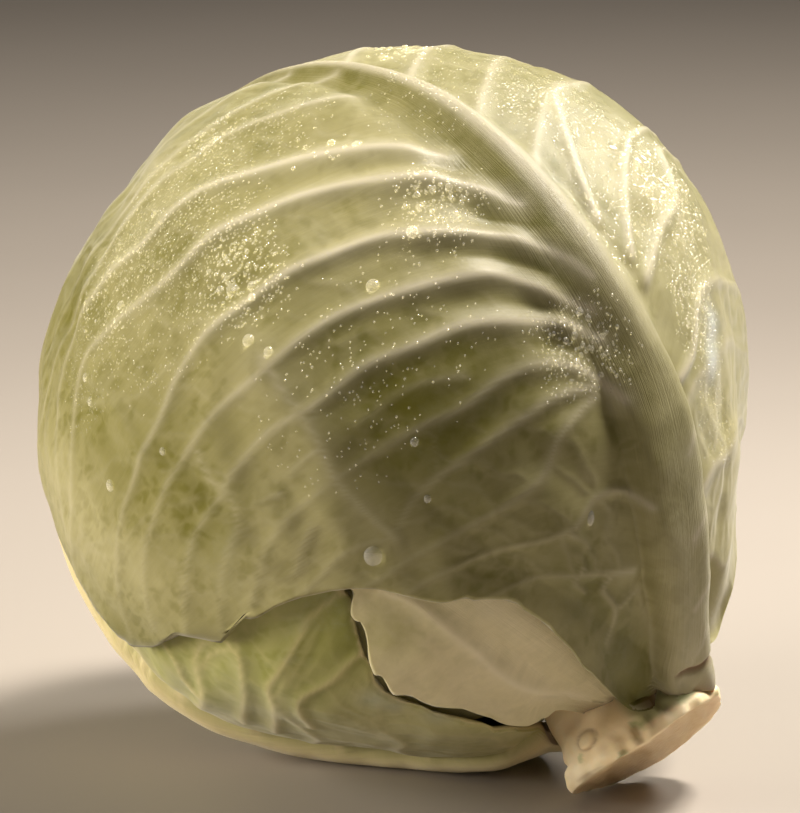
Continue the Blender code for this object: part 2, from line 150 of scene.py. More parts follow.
@dataclass(frozen=True)
class HeadShape:
    """The outer shape of the whole head, and how it lies on the surface.

    Each lump or dent is its angle, its azimuth, its height and its spread.
    """

    radius: float = 90.0
    polar_radius: float = 87.3
    lean: float = 43.5
    heading: float = 148.4
    centre_height: float = 87.4
    neck_rise: float = 9.0
    neck_spread: float = 20.0
    lumps: tuple[tuple[float, float, float, float], ...] = (
        (62.0, -16.0, -6.0, 24.0),
        (42.0, 8.0, -4.0, 18.0),
        (52.0, 187.0, -4.0, 24.0),
        (42.0, 168.0, -3.5, 14.0),
        (54.0, 131.0, 2.5, 16.0),
        (14.0, 178.0, -4.0, 13.0),
        (104.0, -8.0, 1.6, 26.0),
    )

    def surface(self, directions: np.ndarray) -> np.ndarray:
        """Gives the radius of the head's outer shape, without its ribs.

        Args:
            directions: Unit directions from the head's centre.

        Returns:
            The radius at each, in millimetres.
        """
        angle = stump_angle(directions)
        flat = np.sin(np.radians(angle)) / self.radius
        upright = np.cos(np.radians(angle)) / self.polar_radius
        neck = self.neck_rise * np.exp(-((angle / self.neck_spread) ** 2))
        radius = 1 / np.hypot(flat, upright) + neck
        for lump_angle, lump_azimuth, height, spread in self.lumps:
            away = angle_between(directions, head_direction(lump_angle, lump_azimuth))
            radius = radius + height * np.exp(-((away / spread) ** 2))
        return radius

    def turn(self) -> np.ndarray:
        """Gives the rotation that leans the upright head over.

        Returns:
            A matrix that turns upright points into leaning ones.
        """
        heading = math.radians(self.heading)
        hinge = Vector((-math.sin(heading), math.cos(heading), 0.0))
        return np.array(Matrix.Rotation(math.radians(self.lean), 3, hinge))

    def to_world(self, points: np.ndarray) -> np.ndarray:
        """Turns upright points in millimetres into world points in metres."""
        return (points @ self.turn().T + np.array((0.0, 0.0, self.centre_height))) * MM


HEAD = HeadShape()


@dataclass(frozen=True)
class Sight:
    """The view in which places on the head were read, in pixels of its picture and in millimetres."""

    distance: float = 1000.0
    elevation: float = 13.1
    focal: float = 4127.6
    middle: Pair = (402.9, 409.4)
    image: tuple[int, int] = (800, 813)
    steps: int = 6

    def directions(self, places: Places, lift: np.ndarray | float = 0.0) -> np.ndarray:
        """Finds where places in the view lie on the head.

        Args:
            places: The places, as (x, y) pixels.
            lift: How far they stand off the head's outer shape, in millimetres.

        Returns:
            Unit directions from the head's centre, upright.
        """
        tilt = math.radians(self.elevation)
        ahead = np.array((0.0, math.cos(tilt), -math.sin(tilt)))
        up = np.array((0.0, math.sin(tilt), math.cos(tilt)))
        aside = (np.array(places, dtype=float) - self.middle) / self.focal
        rays = unit(ahead + aside[:, :1] * np.array((1.0, 0.0, 0.0)) - aside[:, 1:] * up)
        eye = -self.distance * ahead
        nearest = rays @ eye
        radius = np.full(len(rays), HEAD.radius)
        for _ in range(self.steps):
            gap = np.maximum(radius ** 2 - self.distance ** 2 + nearest ** 2, 0.0)
            points = eye - (nearest + np.sqrt(gap))[:, None] * rays
            directions = unit(points @ HEAD.turn())
            radius = HEAD.surface(directions) + lift
        return directions


SIGHT = Sight()

COVER_MARGIN = 4.0
COVER_FALL = 22.0
SETTLE_SPREAD = 40.0
LEAF_GAP = 1.2
BLADE_THICKNESS = 1.0
BLADE_SWELL = 1.6
BLADE_SWELL_WIDTH = 22.0
BLADE_SWELL_END = 100.0
BLADE_SWELL_FADE = 120.0
PETIOLE_HALF_ANGLE = 27.0
PETIOLE_ROWS = 0.009
RIB_FLATNESS = 2.4
RIB_ROUNDING = 1.3
RIB_ROOM = 5.0
RIB_FOOT = 1.1
MOST_RIB_FOOT = 0.5
ROW_BIAS = 1.2
ROW_SMOOTHING = (-18.0, -12.0, -6.0, 0.0, 6.0, 12.0, 18.0)

# The teeth round a margin: how many of each kind, how high, and how far the leaf's azimuth turns them
TEETH = ((31, 1.0, 1), (57, 0.7, 2), (83, 0.6, 3), (171, 0.35, 5), (263, 0.25, 7))
POINTED_TEETH = 83
TOOTHED_FROM = 4.0
TOOTHED_TO = 172.0

# How the rows' evened margin is drawn in or out to the real one, broadly and then sharply
ALL_BEARINGS = np.linspace(-180.0, 180.0, 1441)
MOST_STRETCH = (-0.24, 0.3)
STRETCH_SPREAD = 36
STRETCH_KERNEL = np.hanning(2 * STRETCH_SPREAD + 1) / STRETCH_SPREAD
BROAD_FROM, BROAD_WIDTH = 0.55, 0.4
SHARP_FROM, SHARP_WIDTH = 0.93, 0.07

# A vein's tail along its row to the margin: how far on it starts, its latest start, its end, and its points
TAIL_START = 0.06
TAIL_LATEST = 0.97
TAIL_END = 0.985
TAIL_STEPS = 12

VEIN_ENDS: Knots = ((0.0, 174.0), (0.1, 141.0), (0.28, 96.0), (0.5, 74.0), (0.8, 41.0), (1.0, 3.0))
NARROW_VEIN_ENDS: Knots = (
    (0.0, 174.0), (0.12, 158.0), (0.26, 118.0), (0.4, 72.0), (0.6, 30.0), (1.0, 4.0),
)
VEIN_BENDS: Knots = ((0.0, 9.0), (0.28, 12.0), (0.4, 17.0), (0.55, 23.0), (1.0, 24.0))
OUTER_RIB: Knots = (
    (-90.0, 9.6), (-53.0, 10.0), (-30.0, 8.2), (-8.0, 6.6), (40.0, 3.2), (80.0, 1.6), (110.0, 1.2),
)
INNER_RIB: Knots = ((-90.0, 8.6), (-40.0, 7.0), (0.0, 5.0), (40.0, 3.0), (110.0, 1.5))
INNER_RIB_RISE: Knots = (
    (-90.0, 4.0), (-55.0, 2.0), (-25.0, 1.1), (0.0, 0.8), (50.0, 0.1), (110.0, 0.0),
)
PLAIN_LIFT: Knots = ((-180.0, 0.4), (-90.0, 0.0), (90.0, 0.0), (180.0, 0.4))


@dataclass(frozen=True)
class LeafForm:
    """The form of one wrapped leaf; angles are in degrees, lengths in millimetres.

    A place on a leaf is its row, 0 at the base to 1 at the tip, and how far across it lies, from 0 on the
    midrib to 1 at the margin, positive on the side of falling azimuth. A row runs along a side vein. The
    leaves outside it leave its side veins their height, and what it has to spare.
    """

    name: str
    azimuth: float
    centre: float
    base_angle: float
    tip: float
    outline: Knots
    lift: Knots
    rib_height: Knots
    rib_width: Knots
    rib_course: Knots
    vein_height: float
    vein_ends: Knots = VEIN_ENDS
    tears: float = 0.5
    margin: Places = ()
    spare: float = 0.0

    def axes(self) -> tuple[np.ndarray, np.ndarray, np.ndarray]:
        """Gives the directions of the leaf's centre, tip and positive side."""
        centre, tip = (head_direction(self.centre + turn, self.azimuth) for turn in (0.0, 90.0))
        return centre, tip, np.cross(centre, tip)

    def polar(self, directions: np.ndarray) -> tuple[np.ndarray, np.ndarray]:
        """Gives each direction's angle from the leaf's centre and its bearing from the tip.

        Args:
            directions: Unit directions from the head's centre.

        Returns:
            The angles and the bearings, in degrees.
        """
        centre, tip, side = self.axes()
        bearing = np.degrees(np.arctan2(directions @ side, directions @ tip))
        return angle_between(directions, centre), bearing

    def from_map(self, along: np.ndarray, across: np.ndarray) -> np.ndarray:
        """Turns points of the leaf's flat map, in degrees from its centre, into directions.

        Args:
            along: Degrees towards the tip.
            across: Degrees towards the positive side.

        Returns:
            Unit directions from the head's centre.
        """
        centre, tip, side = self.axes()
        away = np.hypot(along, across)
        scale = np.sin(np.radians(away)) / np.maximum(away, 1e-6)
        return (
            np.cos(np.radians(away))[..., None] * centre
            + (scale * along)[..., None] * tip
            + (scale * across)[..., None] * side
        )

    def reach(self, bearing: np.ndarray) -> np.ndarray:
        """Gives how far the margin is from the leaf's centre, with its small tears and teeth.

        Args:
            bearing: Bearings from the tip, in degrees.

        Returns:
            Degrees from the leaf's centre.
        """
        teeth = 0.0
        for count, height, shift in TEETH:
            wave = np.sin(count * np.radians(bearing) + shift * self.azimuth)
            teeth = teeth + height * (np.abs(wave) if count == POINTED_TEETH else wave)
        turn = np.abs(bearing)
        ends = smooth_step((TOOTHED_TO - turn) / 10.0) * smooth_step((turn - TOOTHED_FROM) / 16.0)
        return smooth_curve(self.outline, bearing) + self.tears * teeth * ends

    def edge(self, bearing: np.ndarray) -> np.ndarray:
        """Gives how far out the margin is, taking it from the view where it was read there.

        Args:
            bearing: Bearings from the tip, in degrees.

        Returns:
            Degrees from the leaf's centre.
        """
        reach = self.reach(bearing)
        if not self.margin:
            return reach
        flat = self.polar(SIGHT.directions(self.margin))[1]
        away, at = self.polar(SIGHT.directions(self.margin, smooth_curve(self.lift, flat)))
        order = np.argsort(at)
        read = np.interp(bearing, at[order], away[order])
        inside = smooth_step((bearing - at.min()) / 2.0) * smooth_step((at.max() - bearing) / 2.0)
        return reach + (read - reach) * inside

    def evened(self, bearing: np.ndarray) -> np.ndarray:
        """Gives how far out the margin would be if it were evened out along its length."""
        near = [np.clip(bearing + step, -180.0, 180.0) for step in ROW_SMOOTHING]
        return np.mean([smooth_curve(self.outline, at) for at in near], axis=0)

    def drawn_out(self, x: np.ndarray, y: np.ndarray) -> tuple[np.ndarray, np.ndarray]:
        """Draws the flat map's outer part in or out, so that its evened margin comes to the real one.

        Args:
            x: Degrees towards the tip.
            y: Degrees towards the positive side.

        Returns:
            The places after it, in the same way.
        """
        away, bearing = np.hypot(x, y), np.degrees(np.arctan2(y, x))
        sharp = np.clip(self.edge(ALL_BEARINGS) / self.evened(ALL_BEARINGS) - 1, *MOST_STRETCH)
        broad = np.convolve(np.pad(sharp, STRETCH_SPREAD, mode="wrap"), STRETCH_KERNEL, mode="valid")
        out = away / self.evened(bearing)
        scale = 1 + np.interp(bearing, ALL_BEARINGS, broad) * smooth_step((out - BROAD_FROM) / BROAD_WIDTH)
        fine = np.interp(bearing, ALL_BEARINGS, sharp - broad)
        scale += fine * smooth_step((out - SHARP_FROM) / SHARP_WIDTH)
        return x * scale, y * scale

    def cover(self, directions: np.ndarray, start: float, fall: float) -> np.ndarray:
        """Tells how far the leaf covers places on the head.

        Args:
            directions: Unit directions.
            start: Degrees past the margin where its cover starts to fall.
            fall: Degrees over which it falls.

        Returns:
            1 where the leaf lies, falling to 0.
        """
        away, bearing = self.polar(directions)
        return 1 - smooth_step((away - smooth_curve(self.outline, bearing) - start) / fall)

    def rib_position(self, directions: np.ndarray) -> tuple[np.ndarray, np.ndarray]:
        """Gives places along the leaf in degrees, and distances from its midrib in millimetres.

        Args:
            directions: Unit directions from the head's centre.

        Returns:
            Degrees along the leaf, and millimetres aside from the midrib.
        """
        centre, tip, side = self.axes()
        along = np.degrees(np.arctan2(directions @ tip, directions @ centre))
        aside = np.degrees(np.arcsin(np.clip(directions @ side, -1.0, 1.0)))
        return along, np.radians(aside - smooth_curve(self.rib_course, along)) * HEAD.radius

    def rib(self, directions: np.ndarray, widen: float = 0.0) -> np.ndarray:
        """Gives the height of the midrib above the blade.

        Args:
            directions: Unit directions from the head's centre.
            widen: How much to add to its half width, in millimetres.

        Returns:
            The height in millimetres.
        """
        along, aside = self.rib_position(directions)
        width = smooth_curve(self.rib_width, along) + widen
        hump = np.clip(1 - np.abs(aside / width) ** RIB_FLATNESS, 0.0, 1.0) ** RIB_ROUNDING
        return smooth_curve(self.rib_height, along) * hump

    def blade(self, directions: np.ndarray) -> np.ndarray:
        """Gives the thickness of the blade, which swells towards the midrib.

        Args:
            directions: Unit directions from the head's centre.

        Returns:
            The thickness in millimetres.
        """
        along, aside = self.rib_position(directions)
        fade = smooth_step((BLADE_SWELL_END - along) / BLADE_SWELL_FADE)
        return BLADE_THICKNESS + BLADE_SWELL * (np.exp(-((aside / BLADE_SWELL_WIDTH) ** 2)) * fade)

    def row_of(self, start: float) -> float:
        """Gives the row that starts at a place on the midrib, in degrees from the leaf's centre."""
        base = self.base_angle - self.centre
        return (start - base) / (self.tip - base)

    def row_start(self, row: np.ndarray) -> np.ndarray:
        """Gives where rows start on the midrib, in degrees from the leaf's centre."""
        return self.base_angle - self.centre + (self.tip - self.base_angle + self.centre) * row

    def row_ends(self, row: np.ndarray, side: np.ndarray) -> tuple:
        """Finds where rows would end on an evened margin.

        Args:
            row: Rows, 0 at the base to 1 at the tip.
            side: 1 or -1, the leaf's half.

        Returns:
            The bearings of the ends, and the flat map's (along, across) there in degrees, across unsigned.
        """
        ends = np.where(side > 0, smooth_curve(self.vein_ends, row), smooth_curve(VEIN_ENDS, row))
        bearing, turn = side * ends, np.radians(ends)
        end = self.evened(bearing)
        return bearing, end * np.cos(turn), np.maximum(end * np.sin(turn), 1.0)

    def lead(self, row: np.ndarray, side: np.ndarray, out: np.ndarray) -> tuple[np.ndarray, np.ndarray]:
        """Leads along rows as far as a distance across the leaf.

        Args:
            row: Rows, 0 at the base to 1 at the tip.
            side: 1 or -1, the leaf's half.
            out: How far across the leaf to lead, in degrees.

        Returns:
            The flat map's places there, in degrees.
        """
        start = self.row_start(row)
        _, end_along, end_across = self.row_ends(row, side)
        bend = smooth_curve(VEIN_BENDS, row)
        rise = (1 - np.exp(-out / bend)) / (1 - np.exp(-end_across / bend))
        away = np.radians(np.maximum(np.abs(start), 1.0))
        stray = smooth_curve(self.rib_course, start) * away / np.sin(away)
        aside = side * out + stray * np.maximum(1 - out / end_across, 0.0)
        return start + (end_along - start) * rise, aside

    def place(self, row: np.ndarray, across: np.ndarray, rib_share: float = 0.0) -> tuple:
        """Finds places on the leaf.

        Args:
            row: Rows, 0 at the base to 1 at the tip.
            across: Places across the leaf, -1 to 1.
            rib_share: The share of each half that is spent on the midrib and its foot.

        Returns:
            The directions, the bearings of the rows' ends and the flat map's (along, across) in degrees.
        """
        side, share = np.sign(across), np.abs(across)
        bearing, _, wide = self.row_ends(row, side)
        out = wide * share
        start = self.row_start(row)
        if rib_share:
            foot = np.degrees(RIB_FOOT * smooth_curve(self.rib_width, start) / HEAD.radius)
            foot = np.minimum(foot, MOST_RIB_FOOT * wide)
            outside = foot + (wide - foot) * (share - rib_share) / (1 - rib_share)
            out = np.where(share <= rib_share, foot * share / rib_share, outside)
        x, y = self.drawn_out(*self.lead(row, side, out))
        directions = self.from_map(x, y)
        stray = smooth_curve(self.rib_course, start) / math.sin(math.radians(self.base_angle))
        petiole = head_direction(self.base_angle, self.azimuth - side * PETIOLE_HALF_ANGLE * share - stray)
        weight = (1 - smooth_step(row / PETIOLE_ROWS))[..., None]
        directions = directions * (1 - weight) + petiole * weight
        return unit(directions), bearing, x, y

    def run_out(self, place: np.ndarray) -> np.ndarray:
        """Leads from a place on the leaf, along its row, to the margin.

        Args:
            place: A unit direction on the leaf.

        Returns:
            Directions along the row, outwards.
        """
        side = np.sign(self.polar(place)[1])
        grids = np.meshgrid(np.linspace(0.02, 0.98, 97), np.linspace(0.1, 0.98, 89))
        rows, across = (grid.ravel() for grid in grids)
        best = np.argmax(self.place(rows, side * across)[0] @ place)
        reached = np.linspace(min(across[best] + TAIL_START, TAIL_LATEST), TAIL_END, TAIL_STEPS)
        return self.place(np.full(TAIL_STEPS, rows[best]), side * reached)[0]


FRONT = LeafForm(
    name="leaf_1_front", azimuth=-51.5, centre=95.0, base_angle=12.1, tip=99.0,
    outline=(
        (-180.0, 82.4), (-173.0, 80.4), (-168.0, 81.6), (-160.0, 77.0), (-150.0, 72.0),
        (-136.0, 72.0), (-120.0, 80.0), (-104.0, 94.0), (-90.0, 103.0), (-60.0, 108.0),
        (-30.0, 105.0), (0.0, 102.0), (30.0, 107.0), (60.0, 112.0), (85.0, 114.0),
        (96.0, 110.6), (102.0, 96.0), (108.8, 90.6), (111.0, 81.4), (115.5, 72.7),
        (125.0, 65.8), (133.0, 65.0), (144.0, 62.6), (153.0, 65.5), (161.0, 72.4),
        (166.4, 78.3), (171.0, 83.2), (180.0, 82.4),
    ),
    lift=(
        (-180.0, 0.5), (-170.0, 2.5), (-158.0, 2.5), (-140.0, 1.0), (-100.0, 0.8),
        (0.0, 0.0), (90.0, 0.6), (125.0, 0.8), (145.0, 1.2), (158.0, 2.4),
        (168.0, 4.2), (175.0, 3.6), (180.0, 0.5),
    ),
    rib_height=(
        (-90.0, 6.6), (-60.0, 6.4), (-30.0, 5.2), (0.0, 4.0), (40.0, 2.2), (75.0, 0.6),
        (110.0, 0.2),
    ),
    rib_width=OUTER_RIB,
    rib_course=(
        (-90.0, -1.3), (-70.0, -0.8), (-55.0, -0.3), (-35.0, -0.8), (-12.0, 0.7), (20.0, 0.2),
        (110.0, 0.0),
    ),
    vein_height=1.0, spare=0.5, tears=0.35,
    margin=(
        (640, 713), (630, 709), (619, 702), (608, 690), (594, 676), (583, 668), (580, 662), (571, 650),
        (556, 636), (552, 629), (537, 620), (525, 613), (521, 607), (511, 603), (488, 603), (473, 604),
        (468, 600), (454, 604), (442, 606), (423, 603), (399, 597), (376, 592), (352, 591), (330, 594),
        (295, 601), (270, 612), (260, 619), (250, 624), (236, 624), (219, 650), (208, 648), (198, 645),
        (185, 642), (172, 639), (165, 641), (160, 647), (150, 652), (142, 652), (130, 650), (122, 648),
    ),
)
PALE = LeafForm(
    name="leaf_2_pale", azimuth=-103.0, centre=60.0, base_angle=12.1, tip=93.0,
    outline=(
        (-180.0, 47.4), (-172.0, 46.0), (-150.0, 47.0), (-120.0, 56.0), (-90.0, 68.0),
        (-60.0, 82.0), (-30.0, 94.0), (0.0, 96.0), (12.0, 88.0), (24.0, 62.0), (37.0, 30.0),
        (55.0, 15.0), (75.0, 10.6), (90.0, 13.2), (105.0, 14.6), (120.0, 22.0), (132.0, 26.5),
        (144.0, 27.2), (156.0, 29.0), (162.0, 33.5), (166.0, 40.5), (170.0, 42.5),
        (174.0, 43.0), (180.0, 47.4),
    ),
    lift=(
        (-180.0, 0.3), (0.0, 0.0), (75.0, 0.3), (132.0, 0.3), (146.0, 0.6),
        (156.0, 1.6), (168.0, 1.6), (180.0, 0.3),
    ),
    rib_height=(
        (-55.0, 3.6), (-30.0, 2.2), (-10.0, 1.2), (20.0, 0.8), (60.0, 0.2), (100.0, 0.0),
    ),
    rib_width=((-55.0, 8.6), (-10.0, 7.0), (30.0, 5.0), (60.0, 3.0), (100.0, 1.5)),
    rib_course=(
        (-55.0, -2.0), (-38.0, -3.6), (-19.0, -3.4), (-8.0, -2.0), (12.0, 0.0), (100.0, 0.0),
    ),
    vein_height=0.8, vein_ends=NARROW_VEIN_ENDS, tears=0.3,
    margin=(
        (353, 600), (349, 612), (348, 626), (353, 632), (358, 632), (363, 640), (366, 652), (368, 671),
        (374, 684), (381, 683), (386, 691), (392, 701), (399, 702), (410, 701), (415, 704), (425, 709),
        (435, 712), (448, 713), (464, 714), (493, 722), (515, 731), (532, 736), (544, 733), (549, 727),
    ),
)
UNDER = LeafForm(
    name="leaf_3_under", azimuth=161.0, centre=95.0, base_angle=12.6, tip=82.0,
    outline=(
        (-180.0, 81.9), (-172.0, 82.4), (-160.0, 82.0), (-150.0, 79.6), (-140.0, 76.0),
        (-118.0, 84.0), (-95.0, 88.0), (-60.0, 90.0), (-30.0, 88.0), (0.0, 84.0),
        (30.0, 88.0), (60.0, 88.0), (90.0, 80.0), (120.0, 70.0), (145.0, 66.0),
        (162.0, 74.0), (172.0, 82.0), (180.0, 81.9),
    ),
    lift=(
        (-180.0, 0.3), (-160.0, 0.8), (-130.0, 0.2), (0.0, 0.0), (90.0, 1.0),
        (140.0, 2.0), (165.0, 3.0), (180.0, 0.3),
    ),
    rib_height=(
        (-90.0, 2.6), (-60.0, 4.8), (-30.0, 5.0), (0.0, 4.2), (30.0, 2.0), (55.0, 0.5),
        (110.0, 0.0),
    ),
    rib_width=OUTER_RIB,
    rib_course=(
        (-90.0, 0.0), (-70.0, 2.0), (-52.0, 2.6), (-34.0, -2.5), (-15.0, -9.0), (8.0, -12.0),
        (40.0, -9.0), (84.0, 0.0),
    ),
    vein_height=1.2, tears=0.4,
)


def plain_wrapper(
    name: str, azimuth: float, tip: float, reach: tuple[float, ...], bow: Pair, vein_height: float,
    shoulder: float = 148.0,
) -> LeafForm:
    """Describes one of the plain wrapper leaves round the far side.

    Args:
        name: Its CAD node.
        azimuth: Its azimuth.
        tip: Its tip's place.
        reach: How far its margin reaches, from one side of the petiole round to the other.
        bow: How far its midrib strays, low down and high up.
        vein_height: The height of its side veins.
        shoulder: The bearing of the margin beside the petiole.

    Returns:
        The leaf's form.
    """
    half = (0.0, 45.0, 90.0, 120.0, shoulder, 170.0, 180.0)
    bearings = tuple(-bearing for bearing in half[:0:-1]) + half
    return LeafForm(
        name, azimuth, centre=95.0, base_angle=12.1, tip=tip,
        outline=tuple(zip(bearings, (82.4, 82.0, *reach, 82.0, 82.4))),
        lift=PLAIN_LIFT, rib_height=INNER_RIB_RISE, rib_width=INNER_RIB,
        rib_course=((-90.0, 0.0), (-40.0, bow[0]), (20.0, bow[1]), (tip + 2.0, 0.0)),
        vein_height=vein_height,
    )


BACK = plain_wrapper(
    "leaf_4_back", azimuth=33.0, tip=80.0, reach=(72.0, 78.0, 84.0, 86.0, 82.0, 84.0, 82.0, 74.0, 70.0),
    bow=(1.5, 3.0), vein_height=0.9, shoulder=150.0,
)
LOW_BACK = plain_wrapper(
    "leaf_5_low_back", azimuth=112.0, tip=76.0,
    reach=(70.0, 70.0, 76.0, 80.0, 78.0, 80.0, 76.0, 70.0, 70.0), bow=(-1.5, -2.5), vein_height=0.8,
)
RIGHT = plain_wrapper(
    "leaf_6_right", azimuth=-12.0, tip=74.0,
    reach=(70.0, 70.0, 74.0, 78.0, 76.0, 78.0, 74.0, 70.0, 70.0), bow=(1.0, 2.5), vein_height=0.8,
)
LEAVES = (FRONT, PALE, UNDER, BACK, LOW_BACK, RIGHT)


def heart_surface(directions: np.ndarray) -> np.ndarray:
    """Gives the radius that is left for the heart, inside all the loose leaves.

    Args:
        directions: Unit directions from the head's centre.

    Returns:
        The radius at each, in millimetres.
    """
    radius = HEAD.surface(directions)
    start = COVER_MARGIN + (COVER_FALL - SETTLE_SPREAD) / 2
    for leaf in LEAVES:
        room = leaf.blade(directions) + (leaf.vein_height + leaf.spare) + LEAF_GAP
        radius = radius - leaf.cover(directions, start, SETTLE_SPREAD) * room
    return radius


def inner_surface(leaf: LeafForm, directions: np.ndarray) -> np.ndarray:
    """Gives the radius of a leaf's inner side, outside everything that it wraps.

    Args:
        leaf: The leaf.
        directions: Unit directions from the head's centre.

    Returns:
        The radius at each, in millimetres.
    """
    radius = heart_surface(directions) + LEAF_GAP
    for inside in LEAVES[LEAVES.index(leaf) + 1:]:
        height = inside.blade(directions) + (inside.vein_height + inside.spare)
        height = height + inside.rib(directions, RIB_ROOM)
        radius = radius + inside.cover(directions, COVER_MARGIN, COVER_FALL) * (height + LEAF_GAP)
    return radius


# How fast a traced vein thins, and the sharp line on its crest: how much of it, and how narrow
VEIN_THINNING = 1.9
CREST_SHARE = 0.12
CREST_WIDTH = 0.65
LINE_WIDTH = 0.95


@dataclass
class Vein:
    """One vein: its course as unit directions, with its height and half width in millimetres along it."""

    course: np.ndarray
    height: np.ndarray
    width: np.ndarray

    @classmethod
    def through(cls, places: np.ndarray, height: Pair, width: Pair, steps: int = 40) -> "Vein":
        """Draws a vein smoothly through a few places.

        Args:
            places: Directions from its thick end to its thin end.
            height: Its height at the two ends.
            width: Its half width at the two ends.
            steps: How many points it gets.

        Returns:
            The vein.
        """
        run = np.concatenate(([0.0], np.cumsum(np.linalg.norm(np.diff(places, axis=0), axis=1))))
        even = np.linspace(0.0, run[-1], steps)
        course = [smooth_curve(np.stack((run, axis), axis=1), even) for axis in places.T]
        fade = (1 - even / run[-1]) ** VEIN_THINNING
        heights, widths = (last + (first - last) * fade for first, last in (height, width))
        return cls(unit(np.stack(course, axis=1)), heights, widths)

    def at(self, share: float) -> np.ndarray:
        """Gives the vein's direction at a share of its way.

        Args:
            share: How far along the vein, 0 to 1.

        Returns:
            The direction there.
        """
        place = share * (len(self.course) - 1)
        low = min(int(place), len(self.course) - 2)
        return self.course[low] + (self.course[low + 1] - self.course[low]) * (place - low)

    def aside(self) -> np.ndarray:
        """Gives the unit directions that point sideways from the vein, along the leaf."""
        return unit(np.cross(self.course, np.gradient(self.course, axis=0)))


@dataclass(frozen=True)
class Trace:
    """A vein read in the view, thick end first, with its height and half width at the two ends."""

    places: Places
    height: Pair = (1.5, 0.2)
    width: Pair = (4.4, 1.5)
    tail: bool = False

    def vein(self, leaf: LeafForm) -> Vein:
        """Puts the vein on its leaf, and leads it on to the margin when it has a tail.

        Args:
            leaf: The leaf that it is in.

        Returns:
            The vein.
        """
        course = SIGHT.directions(self.places)
        if self.tail:
            course = np.concatenate((course, leaf.run_out(course[-1])))
        return Vein.through(course, self.height, self.width)


@dataclass(frozen=True)
class VeinPlan:
    """The side veins of a leaf, on its positive side and on its negative side.

    Starts are where plain side veins leave the midrib, in degrees from the leaf's centre.
    """

    starts: tuple[tuple[float, ...], tuple[float, ...]]
    traces: tuple[Trace, ...] = ()
    branches: tuple[Trace, ...] = ()


